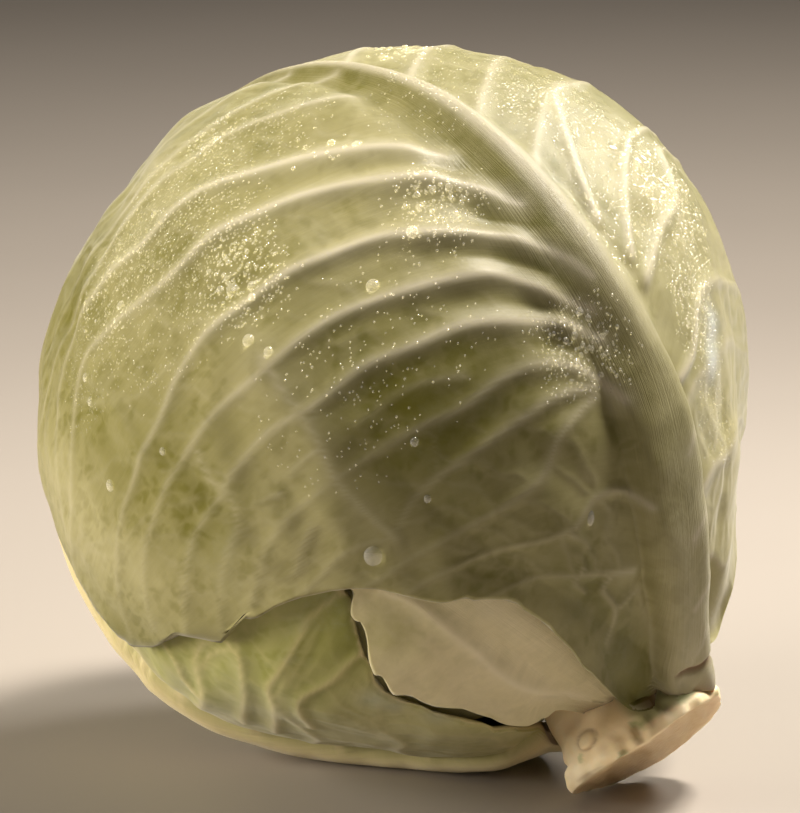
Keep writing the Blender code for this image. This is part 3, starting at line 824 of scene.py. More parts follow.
class Venation:
    """All the side veins of a leaf, their forks, and the net that links them."""

    SWAY = 0.006
    SPAN = (0.02, 0.96)
    WEIGHT = (0.7, 1.0)
    FORK_PLACES = (0.3, 0.75)
    FORK_ANGLES = (0.05, 0.09)
    FIRST_LINK = (0.1, 0.16)
    LINK_SLANT = (-0.05, 0.12)
    LINK_STEP = (0.055, 0.12)
    CROSS_STEP = (0.03, 0.09)
    CROSS_SHARE = 0.6
    LAST_LINK = 0.94
    NET_END = 0.98
    LINK_POINTS = 10
    LINK_WIDTH = 1.1

    def __init__(self, leaf: LeafForm, plan: VeinPlan, seed: int) -> None:
        """Grows the veins.

        Args:
            leaf: The leaf that they are in.
            plan: The veins that the leaf has.
            seed: The seed for everything uneven about them.
        """
        self.leaf = leaf
        self.draw = np.random.default_rng(seed)
        self.veins: list[Vein] = []
        traced = [trace.vein(leaf) for trace in plan.traces]
        self.veins += traced
        for side, starts in zip((1, -1), plan.starts):
            trunks = [vein for vein in traced if side * leaf.polar(vein.at(0.5))[1] > 0]
            trunks += [self.side_vein(leaf.row_of(start), side) for start in starts]
            trunks.sort(key=lambda vein: leaf.rib_position(vein.course[3])[0])
            for low, high in zip(trunks, trunks[1:]):
                self.net(low, high)
        self.veins += [branch.vein(leaf) for branch in plan.branches]

    def wander(self, length: float, size: float, steps: np.ndarray) -> np.ndarray:
        """Gives a smooth seeded wander of a size, along steps from 0 to 1.

        Args:
            length: How many waves it has.
            size: Its size.
            steps: The steps.

        Returns:
            The wander at each step.
        """
        waves = 0.0
        for k in (1, 2, 3):
            weight = self.draw.normal() / k
            waves = waves + weight * np.sin(math.tau * length * k * steps + self.draw.uniform(0, 6))
        return size * waves

    def side_vein(self, row: float, side: int) -> Vein:
        """Grows a side vein from the midrib towards the margin, with its forks.

        Args:
            row: The row it follows.
            side: 1 or -1, the leaf's half.

        Returns:
            The vein.
        """
        steps = np.linspace(0.0, 1.0, 44)
        sway = self.wander(1.1, self.SWAY, steps) * smooth_step(steps / 0.25)
        rows = row + self.draw.normal() * self.SWAY + sway
        fade = (1 - steps) ** 1.3
        trunk = Vein(
            course=self.leaf.place(rows, side * (self.SPAN[0] + self.SPAN[1] * steps))[0],
            height=self.leaf.vein_height * (0.2 + 0.8 * fade) * self.draw.uniform(*self.WEIGHT),
            width=1.5 + 2.0 * fade,
        )
        self.veins.append(trunk)
        for place in self.draw.uniform(*self.FORK_PLACES, 2):
            self.fork(trunk, place)
        return trunk

    def fork(self, trunk: Vein, place: float) -> None:
        """Splits a thinner vein off a side vein, towards one side of it.

        Args:
            trunk: The side vein.
            place: How far along it the fork is, 0 to 1.
        """
        first = int(place * len(trunk.course))
        steps = np.linspace(0.0, 1.0, len(trunk.course) - first)
        spread = self.draw.choice((-1.0, 1.0)) * self.draw.uniform(*self.FORK_ANGLES)
        away = spread * steps ** 0.8 + self.wander(1.0, 0.008, steps) * steps
        self.veins.append(Vein(
            course=unit(trunk.course[first:] + away[:, None] * trunk.aside()[first:]),
            height=trunk.height[first:] * 0.6 * (1 - 0.5 * steps),
            width=trunk.width[first:] * (0.8 - 0.2 * steps),
        ))

    def net(self, low: Vein, high: Vein) -> None:
        """Links two side veins with a coarse net of thin veins.

        Args:
            low: The side vein nearer the base.
            high: The next one.
        """
        place = self.draw.uniform(*self.FIRST_LINK)
        while place < self.LAST_LINK:
            end = min(place + self.draw.uniform(*self.LINK_SLANT), self.NET_END)
            height = 0.12 + 0.2 * self.leaf.vein_height * (1 - place)
            link = self.link(low.at(place), high.at(end), height * self.draw.uniform(0.5, 1.1))
            if self.draw.uniform() < self.CROSS_SHARE:
                turn = min(place + self.draw.uniform(*self.CROSS_STEP), self.NET_END)
                self.link(link.at(self.draw.uniform(0.3, 0.7)), low.at(turn), 0.5 * height)
            place += self.draw.uniform(*self.LINK_STEP)

    def link(self, first: np.ndarray, last: np.ndarray, height: float) -> Vein:
        """Adds one thin vein from one place to another.

        Args:
            first: Its first direction.
            last: Its last direction.
            height: Its height.

        Returns:
            The vein.
        """
        steps = np.linspace(0.0, 1.0, self.LINK_POINTS)
        lean = np.cross(first, last - first)
        course = first + (last - first) * steps[:, None] + self.wander(0.7, 0.09, steps)[:, None] * lean
        width = np.full(self.LINK_POINTS, self.LINK_WIDTH)
        vein = Vein(unit(course), height * (1 - 0.3 * np.sin(math.pi * steps)), width)
        self.veins.append(vein)
        return vein

    def relief(self, directions: np.ndarray) -> tuple[np.ndarray, np.ndarray]:
        """Works out the veins' relief.

        Args:
            directions: Unit directions of places on the leaf.

        Returns:
            The height above the blade in millimetres, and how much each place is vein, 0 to 1.
        """
        points = directions * HEAD.radius
        rise = np.zeros(len(points))
        tone = np.zeros(len(points))
        for vein in self.veins:
            course = vein.course * HEAD.radius
            middle = course.mean(axis=0)
            reach = np.linalg.norm(course - middle, axis=1).max() + 3 * vein.width.max()
            near = np.nonzero(np.linalg.norm(points - middle, axis=1) < reach)[0]
            if not len(near):
                continue
            away, height, width = self.nearest(points[near], course, vein)
            sharp = np.exp(-((away / (0.2 * width + CREST_WIDTH)) ** 2))
            crest = (1 - CREST_SHARE) * np.exp(-((away / width) ** 2)) + CREST_SHARE * sharp
            rise[near] = (rise[near] ** 3 + (height * crest) ** 3) ** (1 / 3)
            line = 0.5 * np.exp(-((away / (1.1 * width)) ** 2)) + 0.5 * np.exp(-((away / LINE_WIDTH) ** 2))
            tone[near] = np.maximum(tone[near], np.clip(0.12 + height / 1.6, 0.18, 0.95) * line)
        return rise, tone

    @staticmethod
    def nearest(points: np.ndarray, course: np.ndarray, vein: Vein) -> tuple:
        """Measures points against a vein.

        Args:
            points: The places to measure, in millimetres.
            course: The vein's own points, in millimetres.
            vein: The vein.

        Returns:
            Each place's distance from the vein, and the vein's height and half width there.
        """
        best = np.full(len(points), np.inf)
        height = np.zeros(len(points))
        width = np.ones(len(points))
        for i, (a, b) in enumerate(zip(course, course[1:])):
            step = b - a
            t = np.clip((points - a) @ step / max(step @ step, 1e-9), 0.0, 1.0)
            away = np.linalg.norm(points - a - t[:, None] * step, axis=1)
            closer = away < best
            best[closer] = away[closer]
            height[closer] = vein.height[i] + (vein.height[i + 1] - vein.height[i]) * t[closer]
            width[closer] = vein.width[i] + (vein.width[i + 1] - vein.width[i]) * t[closer]
        return best, height, width


class Graph:
    """A small helper that builds one material's nodes."""

    def __init__(self, name: str) -> None:
        """Starts a material with a Principled shader.

        Args:
            name: The material's name.
        """
        self.material = bpy.data.materials.new(name)
        self.material.use_nodes = True
        self.tree = self.material.node_tree
        self.shader = self.tree.nodes["Principled BSDF"]

    def node(self, kind: str, inputs: dict | None = None, **settings: str) -> bpy.types.Node:
        """Adds a node.

        Args:
            kind: The node's type, without its ShaderNode prefix.
            inputs: Values or output sockets for its inputs, by name or number.
            **settings: The node's own settings.

        Returns:
            The new node.
        """
        node = self.tree.nodes.new("ShaderNode" + kind)
        for name, value in settings.items():
            setattr(node, name, value)
        for name, value in (inputs or {}).items():
            self.put(node.inputs[name], value)
        return node

    def put(self, socket: Socket, value: Value) -> None:
        """Links an output to a socket, or sets the socket to a value.

        Args:
            socket: The input.
            value: What it gets.
        """
        if isinstance(value, Socket):
            self.tree.links.new(value, socket)
        elif isinstance(value, tuple) and len(value) == 3 and socket.type == "RGBA":
            socket.default_value = (*value, 1.0)
        else:
            socket.default_value = value

    def math(self, operation: str, *values: Value) -> Socket:
        """Adds a math node and gives its output."""
        return self.node("Math", dict(enumerate(values)), operation=operation).outputs[0]

    def ramp(self, value: Value, low: float, high: float) -> Socket:
        """Maps low to high smoothly onto 0 to 1.

        Args:
            value: What is mapped.
            low: What becomes 0.
            high: What becomes 1.

        Returns:
            The mapped value.
        """
        node = self.node("MapRange", {0: value, 1: low, 2: high, 3: 0.0, 4: 1.0})
        node.interpolation_type = "SMOOTHSTEP"
        return node.outputs[0]

    def mix(self, share: Value, first: Value, second: Value) -> Socket:
        """Mixes two colours and gives the result.

        Args:
            share: The share of the second colour.
            first: A colour.
            second: A colour.

        Returns:
            The colour.
        """
        node = self.node("Mix", data_type="RGBA")
        self.put(node.inputs[0], share)
        self.put(node.inputs[6], first)
        self.put(node.inputs[7], second)
        return node.outputs[2]

    def attribute(self, name: str) -> Socket:
        """Gives the value of one of the mesh's own attributes."""
        return self.node("Attribute", attribute_name=name).outputs["Fac"]

    def stretched(self, where: Socket, scale: Colour) -> Socket:
        """Scales a place differently along each axis."""
        return self.node("VectorMath", {0: where, 1: scale}, operation="MULTIPLY").outputs[0]

    def noise(self, where: Socket, scale: float, detail: float = 2.0, roughness: float = 0.5) -> Socket:
        """Gives smooth noise, about 0.3 to 0.7."""
        inputs = {"Vector": where, "Scale": scale, "Detail": detail, "Roughness": roughness}
        return self.node("TexNoise", inputs).outputs[0]

    def bump(
        self, height: Socket, strength: float, distance: float, normal: Socket | None = None,
    ) -> Socket:
        """Adds a bump and gives its normal.

        Args:
            height: The relief.
            strength: How strong it is.
            distance: Its height in metres.
            normal: The normal that it is added to.

        Returns:
            The bumped normal.
        """
        inputs = {"Height": height, "Strength": strength, "Distance": distance}
        node = self.node("Bump", inputs)
        if normal is not None:
            self.put(node.inputs["Normal"], normal)
        return node.outputs[0]

    def set(self, **values: Value) -> None:
        """Sets the shader's own sockets, with _ for a space in their names."""
        for name, value in values.items():
            self.put(self.shader.inputs[name.replace("_", " ")], value)


@dataclass(frozen=True)
class LeafFinish:
    """The waxy skin of one leaf."""

    name: str
    pale: Colour
    deep: Colour
    vein: Colour
    bloom: float
    wet: float
    wax: Colour = (0.43, 0.46, 0.43)
    scar: Colour = (0.20, 0.10, 0.035)

    def material(self) -> bpy.types.Material:
        """Builds the leaf's material.

        Returns:
            The material.
        """
        graph = Graph(self.name)
        here = graph.node("TexCoord").outputs["Object"]
        stream = graph.node("UVMap", uv_map="stream").outputs[0]
        rib = graph.attribute("rib")
        mottle = graph.noise(here, 150.0, 4.0, 0.6)
        fibre = graph.noise(graph.stretched(stream, (150.0, 7.0, 1.0)), 1.0, 3.0, 0.6)
        strand = graph.noise(graph.stretched(stream, (9.0, 330.0, 1.0)), 1.0, 3.0, 0.6)
        strand = graph.math("MULTIPLY", graph.ramp(strand, 0.34, 0.66), rib)
        fine = graph.bump(graph.noise(here, 900.0, 2.0), 0.12, 0.0002)
        grain = graph.bump(strand, 0.35, 0.0003, graph.bump(fibre, 0.2, 0.0003, fine))
        graph.set(
            Base_Color=self.skin(graph, here, mottle, fibre, strand),
            Roughness=graph.math("MULTIPLY_ADD", mottle, 0.25, 0.42),
            Normal=grain,
            Specular_IOR_Level=0.36,
            Subsurface_Weight=0.15,
            Subsurface_Radius=(0.8, 0.8, 0.3),
            Subsurface_Scale=0.004,
            Sheen_Weight=0.22,
            Sheen_Roughness=0.45,
            Coat_Weight=self.wet,
            Coat_Roughness=0.36,
            Coat_Normal=graph.bump(self.mist(graph, here), 0.6, 0.0003, grain),
        )
        return graph.material

    def skin(self, graph: Graph, here: Socket, mottle: Socket, fibre: Socket, strand: Socket) -> Socket:
        """Colours the skin: green over cream, deepened in places as painted shade, with pale veins, fine
        fibres, dull wax and brown scars.

        Args:
            graph: The leaf's graph.
            here: The place on the head.
            mottle: Fine unevenness.
            fibre: Fibres that run along the veins.
            strand: Strands that run along the midrib.

        Returns:
            The colour.
        """
        shade, vein = graph.attribute("shade"), graph.attribute("vein")
        leaf_map = graph.node("UVMap", uv_map="leaf").outputs[0]
        blotch = graph.ramp(graph.noise(here, 26.0, 3.0), 0.36, 0.64)
        tint = graph.math("ADD", graph.math("MULTIPLY", blotch, 0.22), shade)
        tint = graph.math("MULTIPLY_ADD", self.cells(graph, leaf_map), 0.22, tint)
        skin = graph.mix(graph.math("MINIMUM", tint, 1.0), self.pale, self.deep)
        layers = (
            (graph.ramp(mottle, 0.35, 0.7), 0.1, self.pale),
            (graph.ramp(fibre, 0.3, 0.7), 0.14, self.deep),
            (graph.ramp(vein, 0.0, 1.0), 0.85, self.vein),
            (strand, 0.15, self.deep),
        )
        for share, strength, colour in layers:
            skin = graph.mix(graph.math("MULTIPLY", share, strength), skin, colour)
        dust = graph.math("MULTIPLY", graph.ramp(graph.noise(here, 60.0, 6.0, 0.7), 0.5, 0.72), self.bloom)
        dust = graph.math("MULTIPLY", dust, graph.math("MULTIPLY", shade, 0.6))
        waxy = graph.math("MAXIMUM", dust, graph.math("MULTIPLY", graph.attribute("wax"), 0.8))
        return graph.mix(graph.attribute("scar"), graph.mix(waxy, skin, self.wax), self.scar)

    @staticmethod
    def cells(graph: Graph, leaf_map: Socket) -> Socket:
        """Draws the soft green cells between the finest veins, here strong and there faint.

        Args:
            graph: The leaf's graph.
            leaf_map: The leaf's flat map.

        Returns:
            How green it is.
        """
        warp = graph.node("TexNoise", {"Vector": leaf_map, "Scale": 14.0, "Detail": 2.0}).outputs[1]
        lean = graph.node("VectorMath", {0: warp, 3: 0.12}, operation="SCALE").outputs[0]
        where = graph.node("VectorMath", {0: leaf_map, 1: lean}, operation="ADD").outputs[0]
        inputs = {"Vector": where, "Scale": 20.0, "Smoothness": 0.4}
        cells = graph.node("TexVoronoi", inputs, feature="SMOOTH_F1", voronoi_dimensions="2D")
        green = graph.math("SUBTRACT", 1.0, graph.ramp(cells.outputs["Distance"], 0.1, 0.6))
        return graph.math("MULTIPLY", green, graph.ramp(graph.noise(leaf_map, 6.0, 3.0), 0.35, 0.6))

    @staticmethod
    def mist(graph: Graph, here: Socket) -> Socket:
        """Beads the skin with water too fine to be drops of its own, where the mesh says it is wet.

        Args:
            graph: The leaf's graph.
            here: The place on the head.

        Returns:
            The height of the beads.
        """
        beads = graph.node("TexVoronoi", {"Vector": here, "Scale": 1150.0}, feature="SMOOTH_F1")
        height = graph.math("SUBTRACT", 1.0, graph.ramp(beads.outputs["Distance"], 0.05, 0.55))
        return graph.math("MULTIPLY", height, graph.attribute("mist"))


@dataclass(frozen=True)
class StumpFinish:
    """Pale stalk with a dry fibrous cut."""

    name: str
    skin: Colour = (0.93, 0.74, 0.45)
    skin_pale: Colour = (0.93, 0.80, 0.56)
    green: Colour = (0.38, 0.40, 0.17)
    cut: Colour = (0.68, 0.47, 0.22)
    cut_pale: Colour = (0.84, 0.65, 0.38)
    scar: Colour = (0.24, 0.12, 0.045)

    def material(self) -> bpy.types.Material:
        """Builds the stump's material.

        Returns:
            The material.
        """
        graph = Graph(self.name)
        here = graph.node("TexCoord").outputs["Object"]
        cut, green, scar = (graph.attribute(name) for name in ("cut", "green", "scar"))
        cloud = graph.ramp(graph.noise(here, 70.0, 4.0, 0.6), 0.38, 0.66)
        grain = graph.node("UVMap", uv_map="grain").outputs[0]
        fibre = graph.noise(grain, 60.0, 4.0, 0.65)
        skin = graph.mix(cloud, self.skin, self.skin_pale)
        skin = graph.mix(green, skin, self.green)
        face = graph.mix(graph.ramp(fibre, 0.32, 0.68), self.cut, self.cut_pale)
        skin = graph.mix(cut, skin, face)
        skin = graph.mix(scar, skin, self.scar)
        fine = graph.bump(graph.noise(here, 700.0, 3.0), 0.3, 0.0003)
        graph.set(
            Base_Color=skin,
            Roughness=graph.math("MULTIPLY_ADD", cloud, 0.15, 0.48),
            Normal=graph.bump(graph.math("MULTIPLY", fibre, cut), 0.7, 0.0008, fine),
            Subsurface_Weight=0.15,
            Subsurface_Radius=(1.0, 0.6, 0.3),
            Subsurface_Scale=0.004,
        )
        return graph.material


@dataclass(frozen=True)
class WaterFinish:
    """Clear water, a little milky where it catches the light."""

    name: str = "dew water"
    colour: Colour = (0.97, 0.96, 0.9)
    milk: Colour = (0.99, 0.98, 0.95)
    clear: float = 0.82

    def material(self) -> bpy.types.Material:
        """Builds the water's material.

        Returns:
            The material.
        """
        graph = Graph(self.name)
        here = graph.node("TexCoord").outputs["Object"]
        cloud = graph.ramp(graph.noise(here, 800.0), 0.35, 0.65)
        graph.set(
            Base_Color=graph.mix(cloud, self.colour, self.milk),
            Roughness=0.04,
            IOR=1.42,
            Transmission_Weight=self.clear,
            Coat_Weight=1.0,
            Coat_Roughness=0.03,
            Coat_IOR=1.7,
        )
        return graph.material


@dataclass(frozen=True)
class FloorFinish:
    """A plain warm pale surface."""

    name: str = "studio floor"
    colour: Colour = (0.39, 0.352, 0.315)
    cloud: Colour = (0.36, 0.325, 0.29)

    def material(self) -> bpy.types.Material:
        """Builds the floor's material.

        Returns:
            The material.
        """
        graph = Graph(self.name)
        here = graph.node("TexCoord").outputs["Object"]
        soft = graph.ramp(graph.noise(here, 6.0, 3.0), 0.3, 0.7)
        graph.set(
            Base_Color=graph.mix(graph.math("MULTIPLY", soft, 0.25), self.colour, self.cloud),
            Roughness=0.55,
        )
        return graph.material


def add_piece(bm: bmesh.types.BMesh, name: str, material: bpy.types.Material) -> bpy.types.Object:
    """Makes an object at the origin from a finished mesh.

    Args:
        bm: The mesh, which is freed.
        name: The object's name.
        material: Its material.

    Returns:
        The new object, shaded smooth.
    """
    mesh = bpy.data.meshes.new(name)
    bm.to_mesh(mesh)
    bm.free()
    mesh.shade_smooth()
    mesh.materials.append(material)
    piece = bpy.data.objects.new(name, mesh)
    bpy.context.scene.collection.objects.link(piece)
    return piece


def ride(piece: bpy.types.Object, node: str) -> None:
    """Puts a piece in its CAD node's place on the head.

    Args:
        piece: The piece.
        node: The CAD node that it stands for.
    """
    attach(piece, "root")
    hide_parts(node)


def mesh_points(mesh: bpy.types.Mesh) -> np.ndarray:
    """Reads a mesh's points.

    Args:
        mesh: The mesh.

    Returns:
        One row for each point.
    """
    points = np.empty(len(mesh.vertices) * 3)
    mesh.vertices.foreach_get("co", points)
    return points.reshape(-1, 3)


def place_points(mesh: bpy.types.Mesh, points: np.ndarray) -> None:
    """Writes a mesh's points, and turns its faces outwards.

    Args:
        mesh: The mesh.
        points: One row for each point, in metres.
    """
    mesh.vertices.foreach_set("co", points.ravel())
    bm = bmesh.new()
    bm.from_mesh(mesh)
    bmesh.ops.recalc_face_normals(bm, faces=bm.faces[:])
    if bm.calc_volume(signed=True) < 0:
        bmesh.ops.reverse_faces(bm, faces=bm.faces[:])
    bm.to_mesh(mesh)
    bm.free()
    mesh.update()


def set_attributes(mesh: bpy.types.Mesh, **attributes: np.ndarray | float) -> None:
    """Stores numbers from 0 to 1 for each point of a mesh, for its material.

    Args:
        mesh: The mesh.
        **attributes: The numbers, or one number for all points, by the attribute's name.
    """
    for name, values in attributes.items():
        numbers = np.empty(len(mesh.vertices), dtype=np.float32)
        numbers[:] = np.clip(values, 0.0, 1.0)
        mesh.attributes.new(name, "FLOAT", "POINT").data.foreach_set("value", numbers)


def set_map(mesh: bpy.types.Mesh, name: str, flat: np.ndarray) -> None:
    """Gives a mesh a UV map from one flat place for each point.

    Args:
        mesh: The mesh.
        name: The map's name.
        flat: One flat place for each point.
    """
    corners = np.empty(len(mesh.loops), dtype=np.int32)
    mesh.loops.foreach_get("vertex_index", corners)
    layer = mesh.uv_layers.new(name=name)
    layer.uv.foreach_set("vector", np.ascontiguousarray(flat[corners], dtype=np.float32).ravel())


@dataclass(frozen=True)
class Cluster:
    """A patch of dew: its place in the view, its spread, how many drops, their radii and their run.

    A drop's run is how far it is drawn out downhill on a steep place, and lengths are in millimetres.
    """

    x: float
    y: float
    spread: float
    drops: int
    smallest: float
    largest: float
    run: float = 1.15


@dataclass(frozen=True)
class Patch:
    """A soft patch of a leaf: its place in the view, its strength and its spread in millimetres."""

    x: float
    y: float
    strength: float
    spread: float


def patches(*rows: tuple[float, float, float, float]) -> tuple[Patch, ...]:
    """Makes patches from rows of (x, y, strength, spread)."""
    return tuple(Patch(*row) for row in rows)


def patches_at(marks: tuple[Patch, ...], directions: np.ndarray) -> np.ndarray:
    """Adds up the strengths of soft patches at directions from the head's centre.

    Args:
        marks: The patches.
        directions: Unit directions from the head's centre.

    Returns:
        The strengths added up.
    """
    total = np.zeros(len(directions))
    for patch in marks:
        middle = SIGHT.directions(((patch.x, patch.y),))[0]
        away = np.linalg.norm(directions - middle, axis=1) * HEAD.radius
        total += patch.strength * np.exp(-((away / patch.spread) ** 2))
    return total


MIST = patches(
    (540, 90, 1.0, 24.0), (640, 180, 1.0, 24.0), (700, 300, 0.9, 18.0), (440, 200, 0.8, 13.0),
    (580, 350, 0.8, 12.0), (190, 180, 0.9, 26.0), (110, 290, 0.8, 20.0), (240, 270, 0.9, 18.0),
    (350, 70, 0.7, 22.0),
)

# Along a midrib, in degrees from the leaf's centre: where it is squared off, furrowed, keeled and creamy
SQUARED_FROM, SQUARED_OVER = 18.0, 20.0
FURROW_END, FURROW_FADE = 75, 30
KEEL_PLACE, KEEL_SPREAD = 22.0, 34.0
GREEN_PLACE, GREEN_SPREAD = 48.0, 34.0
CREAM_END, CREAM_FADE = 40.0, 50.0

# Across a midrib, in half widths: where its furrow runs, how far its soft side reaches, and its flank
# turned from the light, painted darker as shade
FURROW_PLACE, FURROW_WIDTH = 1.5, 0.5
SOFT_REACH = 1.5
SHADED_FLANK_FROM, SHADED_FLANK_RISE = 0.1, 0.4
SHADED_FLANK_TO, SHADED_FLANK_FALL = 1.4, 0.6

# How much narrower the front midrib is on its inner side, towards its foot
FOOT_NARROWING: Knots = ((-90.0, 0.5), (-80.0, 0.6), (-72.0, 0.72), (-62.0, 1.0), (110.0, 1.0))

# How many units of a leaf's flat map a metre takes up
MAP_SCALE = 10


class RibShape(Enum):
    """How a leaf's midrib stands out: softly, as a ridge squared off low down, or squared all along."""

    SOFT = "soft"
    KEELED = "keeled"
    SQUARE = "square"


@dataclass(frozen=True)
class Crack:
    """The snapped foot of a midrib; its angle is from the stump in degrees, lengths are in millimetres."""

    angle: float
    depth: float = 0.9
    width: float = 0.45
    slope: float = 0.12
    wave: float = 0.25
    middle: float = -4.0
    half_length: float = 5.5
    fade: float = 3.0

    def at(self, angle: np.ndarray, aside: np.ndarray) -> np.ndarray:
        """Gives the crack's depth.

        Args:
            angle: Degrees from the stump.
            aside: Millimetres aside from the midrib.

        Returns:
            The depth at each place.
        """
        line = self.angle - self.slope * aside + self.wave * np.sin(aside * 0.7)
        across = 1 - smooth_step((np.abs(aside - self.middle) - self.half_length) / self.fade)
        return self.depth * np.exp(-(((angle - line) / self.width) ** 2)) * across


@dataclass
class FineLeaf:
    """One leaf as a fine closed blade, with its veins in relief."""

    form: LeafForm
    finish: LeafFinish
    plan: VeinPlan
    seed: int
    rows: int
    columns: int
    rib_columns: float = 0.13
    coarser: int = 5
    shade_from: float = 30.0
    shade_to: float = 85.0
    rib_shape: RibShape = RibShape.SOFT
    crack: Crack | None = None
    swells: tuple[Patch, ...] = ()
    greens_and_painted_shade: tuple[Patch, ...] = ()
    waxes: tuple[Patch, ...] = ()
    rib_cream: float = 0.75
    rib_green: float = 0.72
    sheet_gap: float = 0.01
    margin_start: float = 0.975
    margin_width: float = 0.025
    thinning: float = 0.45
    thinnest: float = 0.4
    rim_rise: float = 0.1
    waves: Pair = (0.35, 26.0)
    deepest: float = 0.4
    puckers: Pair = (0.2, 10.0)
    calm_width: float = 0.12
    furrow: float = 1.3
    keel: float = 0.3

    def blank(self) -> bpy.types.Object:
        """Cuts the flat blank: a fine outer sheet and a coarse inner one, joined round their rims.

        Returns:
            The blank, with the leaf's material.
        """
        bm = bmesh.new()
        bmesh.ops.create_grid(bm, x_segments=self.columns, y_segments=self.rows, size=1.0)
        under = Matrix.Translation((0.0, 0.0, -self.sheet_gap))
        across, along = self.columns // self.coarser, self.rows // self.coarser
        bmesh.ops.create_grid(bm, x_segments=across, y_segments=along, size=1.0, matrix=under)
        rims = [edge for edge in bm.edges if edge.is_boundary]
        bmesh.ops.bridge_loops(bm, edges=rims)
        return add_piece(bm, self.form.name + "_fine", self.finish.material())

    def build(self) -> bpy.types.Object:
        """Makes the leaf.

        Returns:
            The finished leaf, in place.
        """
        piece = self.blank()
        mesh = piece.data
        flat = mesh_points(mesh)
        outer = flat[:, 2] > -self.sheet_gap / 2
        row = ((flat[:, 1] + 1) / 2) ** ROW_BIAS
        directions, bearing, along, across = self.form.place(row, flat[:, 0], self.rib_columns)
        share = np.abs(flat[:, 0])
        rise = np.zeros(len(flat))
        tone = np.zeros(len(flat))
        venation = Venation(self.form, self.plan, self.seed)
        rise[outer], tone[outer] = venation.relief(directions[outer])
        rise = rise * self.swallow(directions)
        edge = smooth_step((share - self.margin_start) / self.margin_width)
        blade = self.form.blade(directions) * (1 - self.thinning * edge)
        lift = smooth_curve(self.form.lift, bearing) * share ** 3
        places = directions * HEAD.radius
        uneven = self.waves[0] * Ripple(self.seed, self.waves[1]).at(places)
        uneven = np.maximum(uneven, -self.deepest) + patches_at(self.swells, directions)
        uneven += self.puckers[0] * (1 - tone) * Ripple(self.seed + 9, self.puckers[1], 24).at(places)
        radius = inner_surface(self.form, directions) + lift
        calm = smooth_step(share / self.calm_width) * (1 - 0.5 * edge)
        crack = np.zeros(len(flat))
        if self.crack is not None:
            crack = self.crack.at(stump_angle(directions), self.form.rib_position(directions)[1])
        top = radius + blade + self.rib(directions) + calm * (rise + uneven) - crack
        top = np.maximum(top, radius + self.thinnest * BLADE_THICKNESS)
        points = HEAD.to_world(directions * np.where(outer, top, radius + self.rim_rise * edge)[:, None])
        points[:, 2] = np.maximum(points[:, 2], 0.0)
        place_points(mesh, points)
        self.dress(mesh, directions, tone, share, crack, row)
        degree = math.radians(1.0) * HEAD.radius * MM
        set_map(mesh, "leaf", np.stack((along, across), axis=1) * degree * MAP_SCALE)
        set_map(mesh, "stream", np.stack((row, flat[:, 0]), axis=1))
        ride(piece, self.form.name)
        return piece

    def rib_share(self, directions: np.ndarray) -> tuple[np.ndarray, np.ndarray, np.ndarray]:
        """Gives places along the midrib, how far across it they lie, and how squared it is there.

        Args:
            directions: Unit directions from the head's centre.

        Returns:
            Degrees along the leaf, half widths across the midrib, and 0 to 1.
        """
        along, aside = self.form.rib_position(directions)
        if self.rib_shape is RibShape.KEELED:
            aside = np.where(aside > 0, aside / smooth_curve(FOOT_NARROWING, along), aside)
        squared = {
            RibShape.SOFT: np.zeros(len(along)),
            RibShape.KEELED: smooth_step((-along - SQUARED_FROM) / SQUARED_OVER),
            RibShape.SQUARE: np.ones(len(along)),
        }[self.rib_shape]
        return along, aside / smooth_curve(self.form.rib_width, along), squared

    def rib(self, directions: np.ndarray) -> np.ndarray:
        """Gives the height of the midrib above the blade.

        Args:
            directions: Unit directions from the head's centre.

        Returns:
            The height in millimetres.
        """
        if self.rib_shape is RibShape.SOFT:
            return self.form.rib(directions)
        along, share, squared = self.rib_share(directions)
        right = np.clip(-share / (SOFT_REACH - (SOFT_REACH - 1) * squared), 0.0, 1.0)
        left = np.clip(share, 0.0, 1.0)
        soft = 0.5 + 0.5 * np.cos(math.pi * np.where(share < 0, right, left))
        blunt = (1 - np.clip(np.abs(share), 0.0, 1.0) ** 5.0) ** 0.8
        furrow = np.exp(-(((share - FURROW_PLACE) / FURROW_WIDTH) ** 2))
        furrow = furrow * (1 - squared) * smooth_step((FURROW_END - along) / FURROW_FADE)
        keel = 1 + self.keel * np.exp(-(((along - KEEL_PLACE) / KEEL_SPREAD) ** 2))
        height = keel * smooth_curve(self.form.rib_height, along)
        return height * (soft + (blunt - soft) * squared) - self.furrow * furrow

    def swallow(self, directions: np.ndarray) -> np.ndarray:
        """Gives how far the veins stand clear of the midrib's own hump, 0 to 1."""
        share = self.rib_share(directions)[1]
        return smooth_step((np.abs(share) - 0.6) / 0.7)

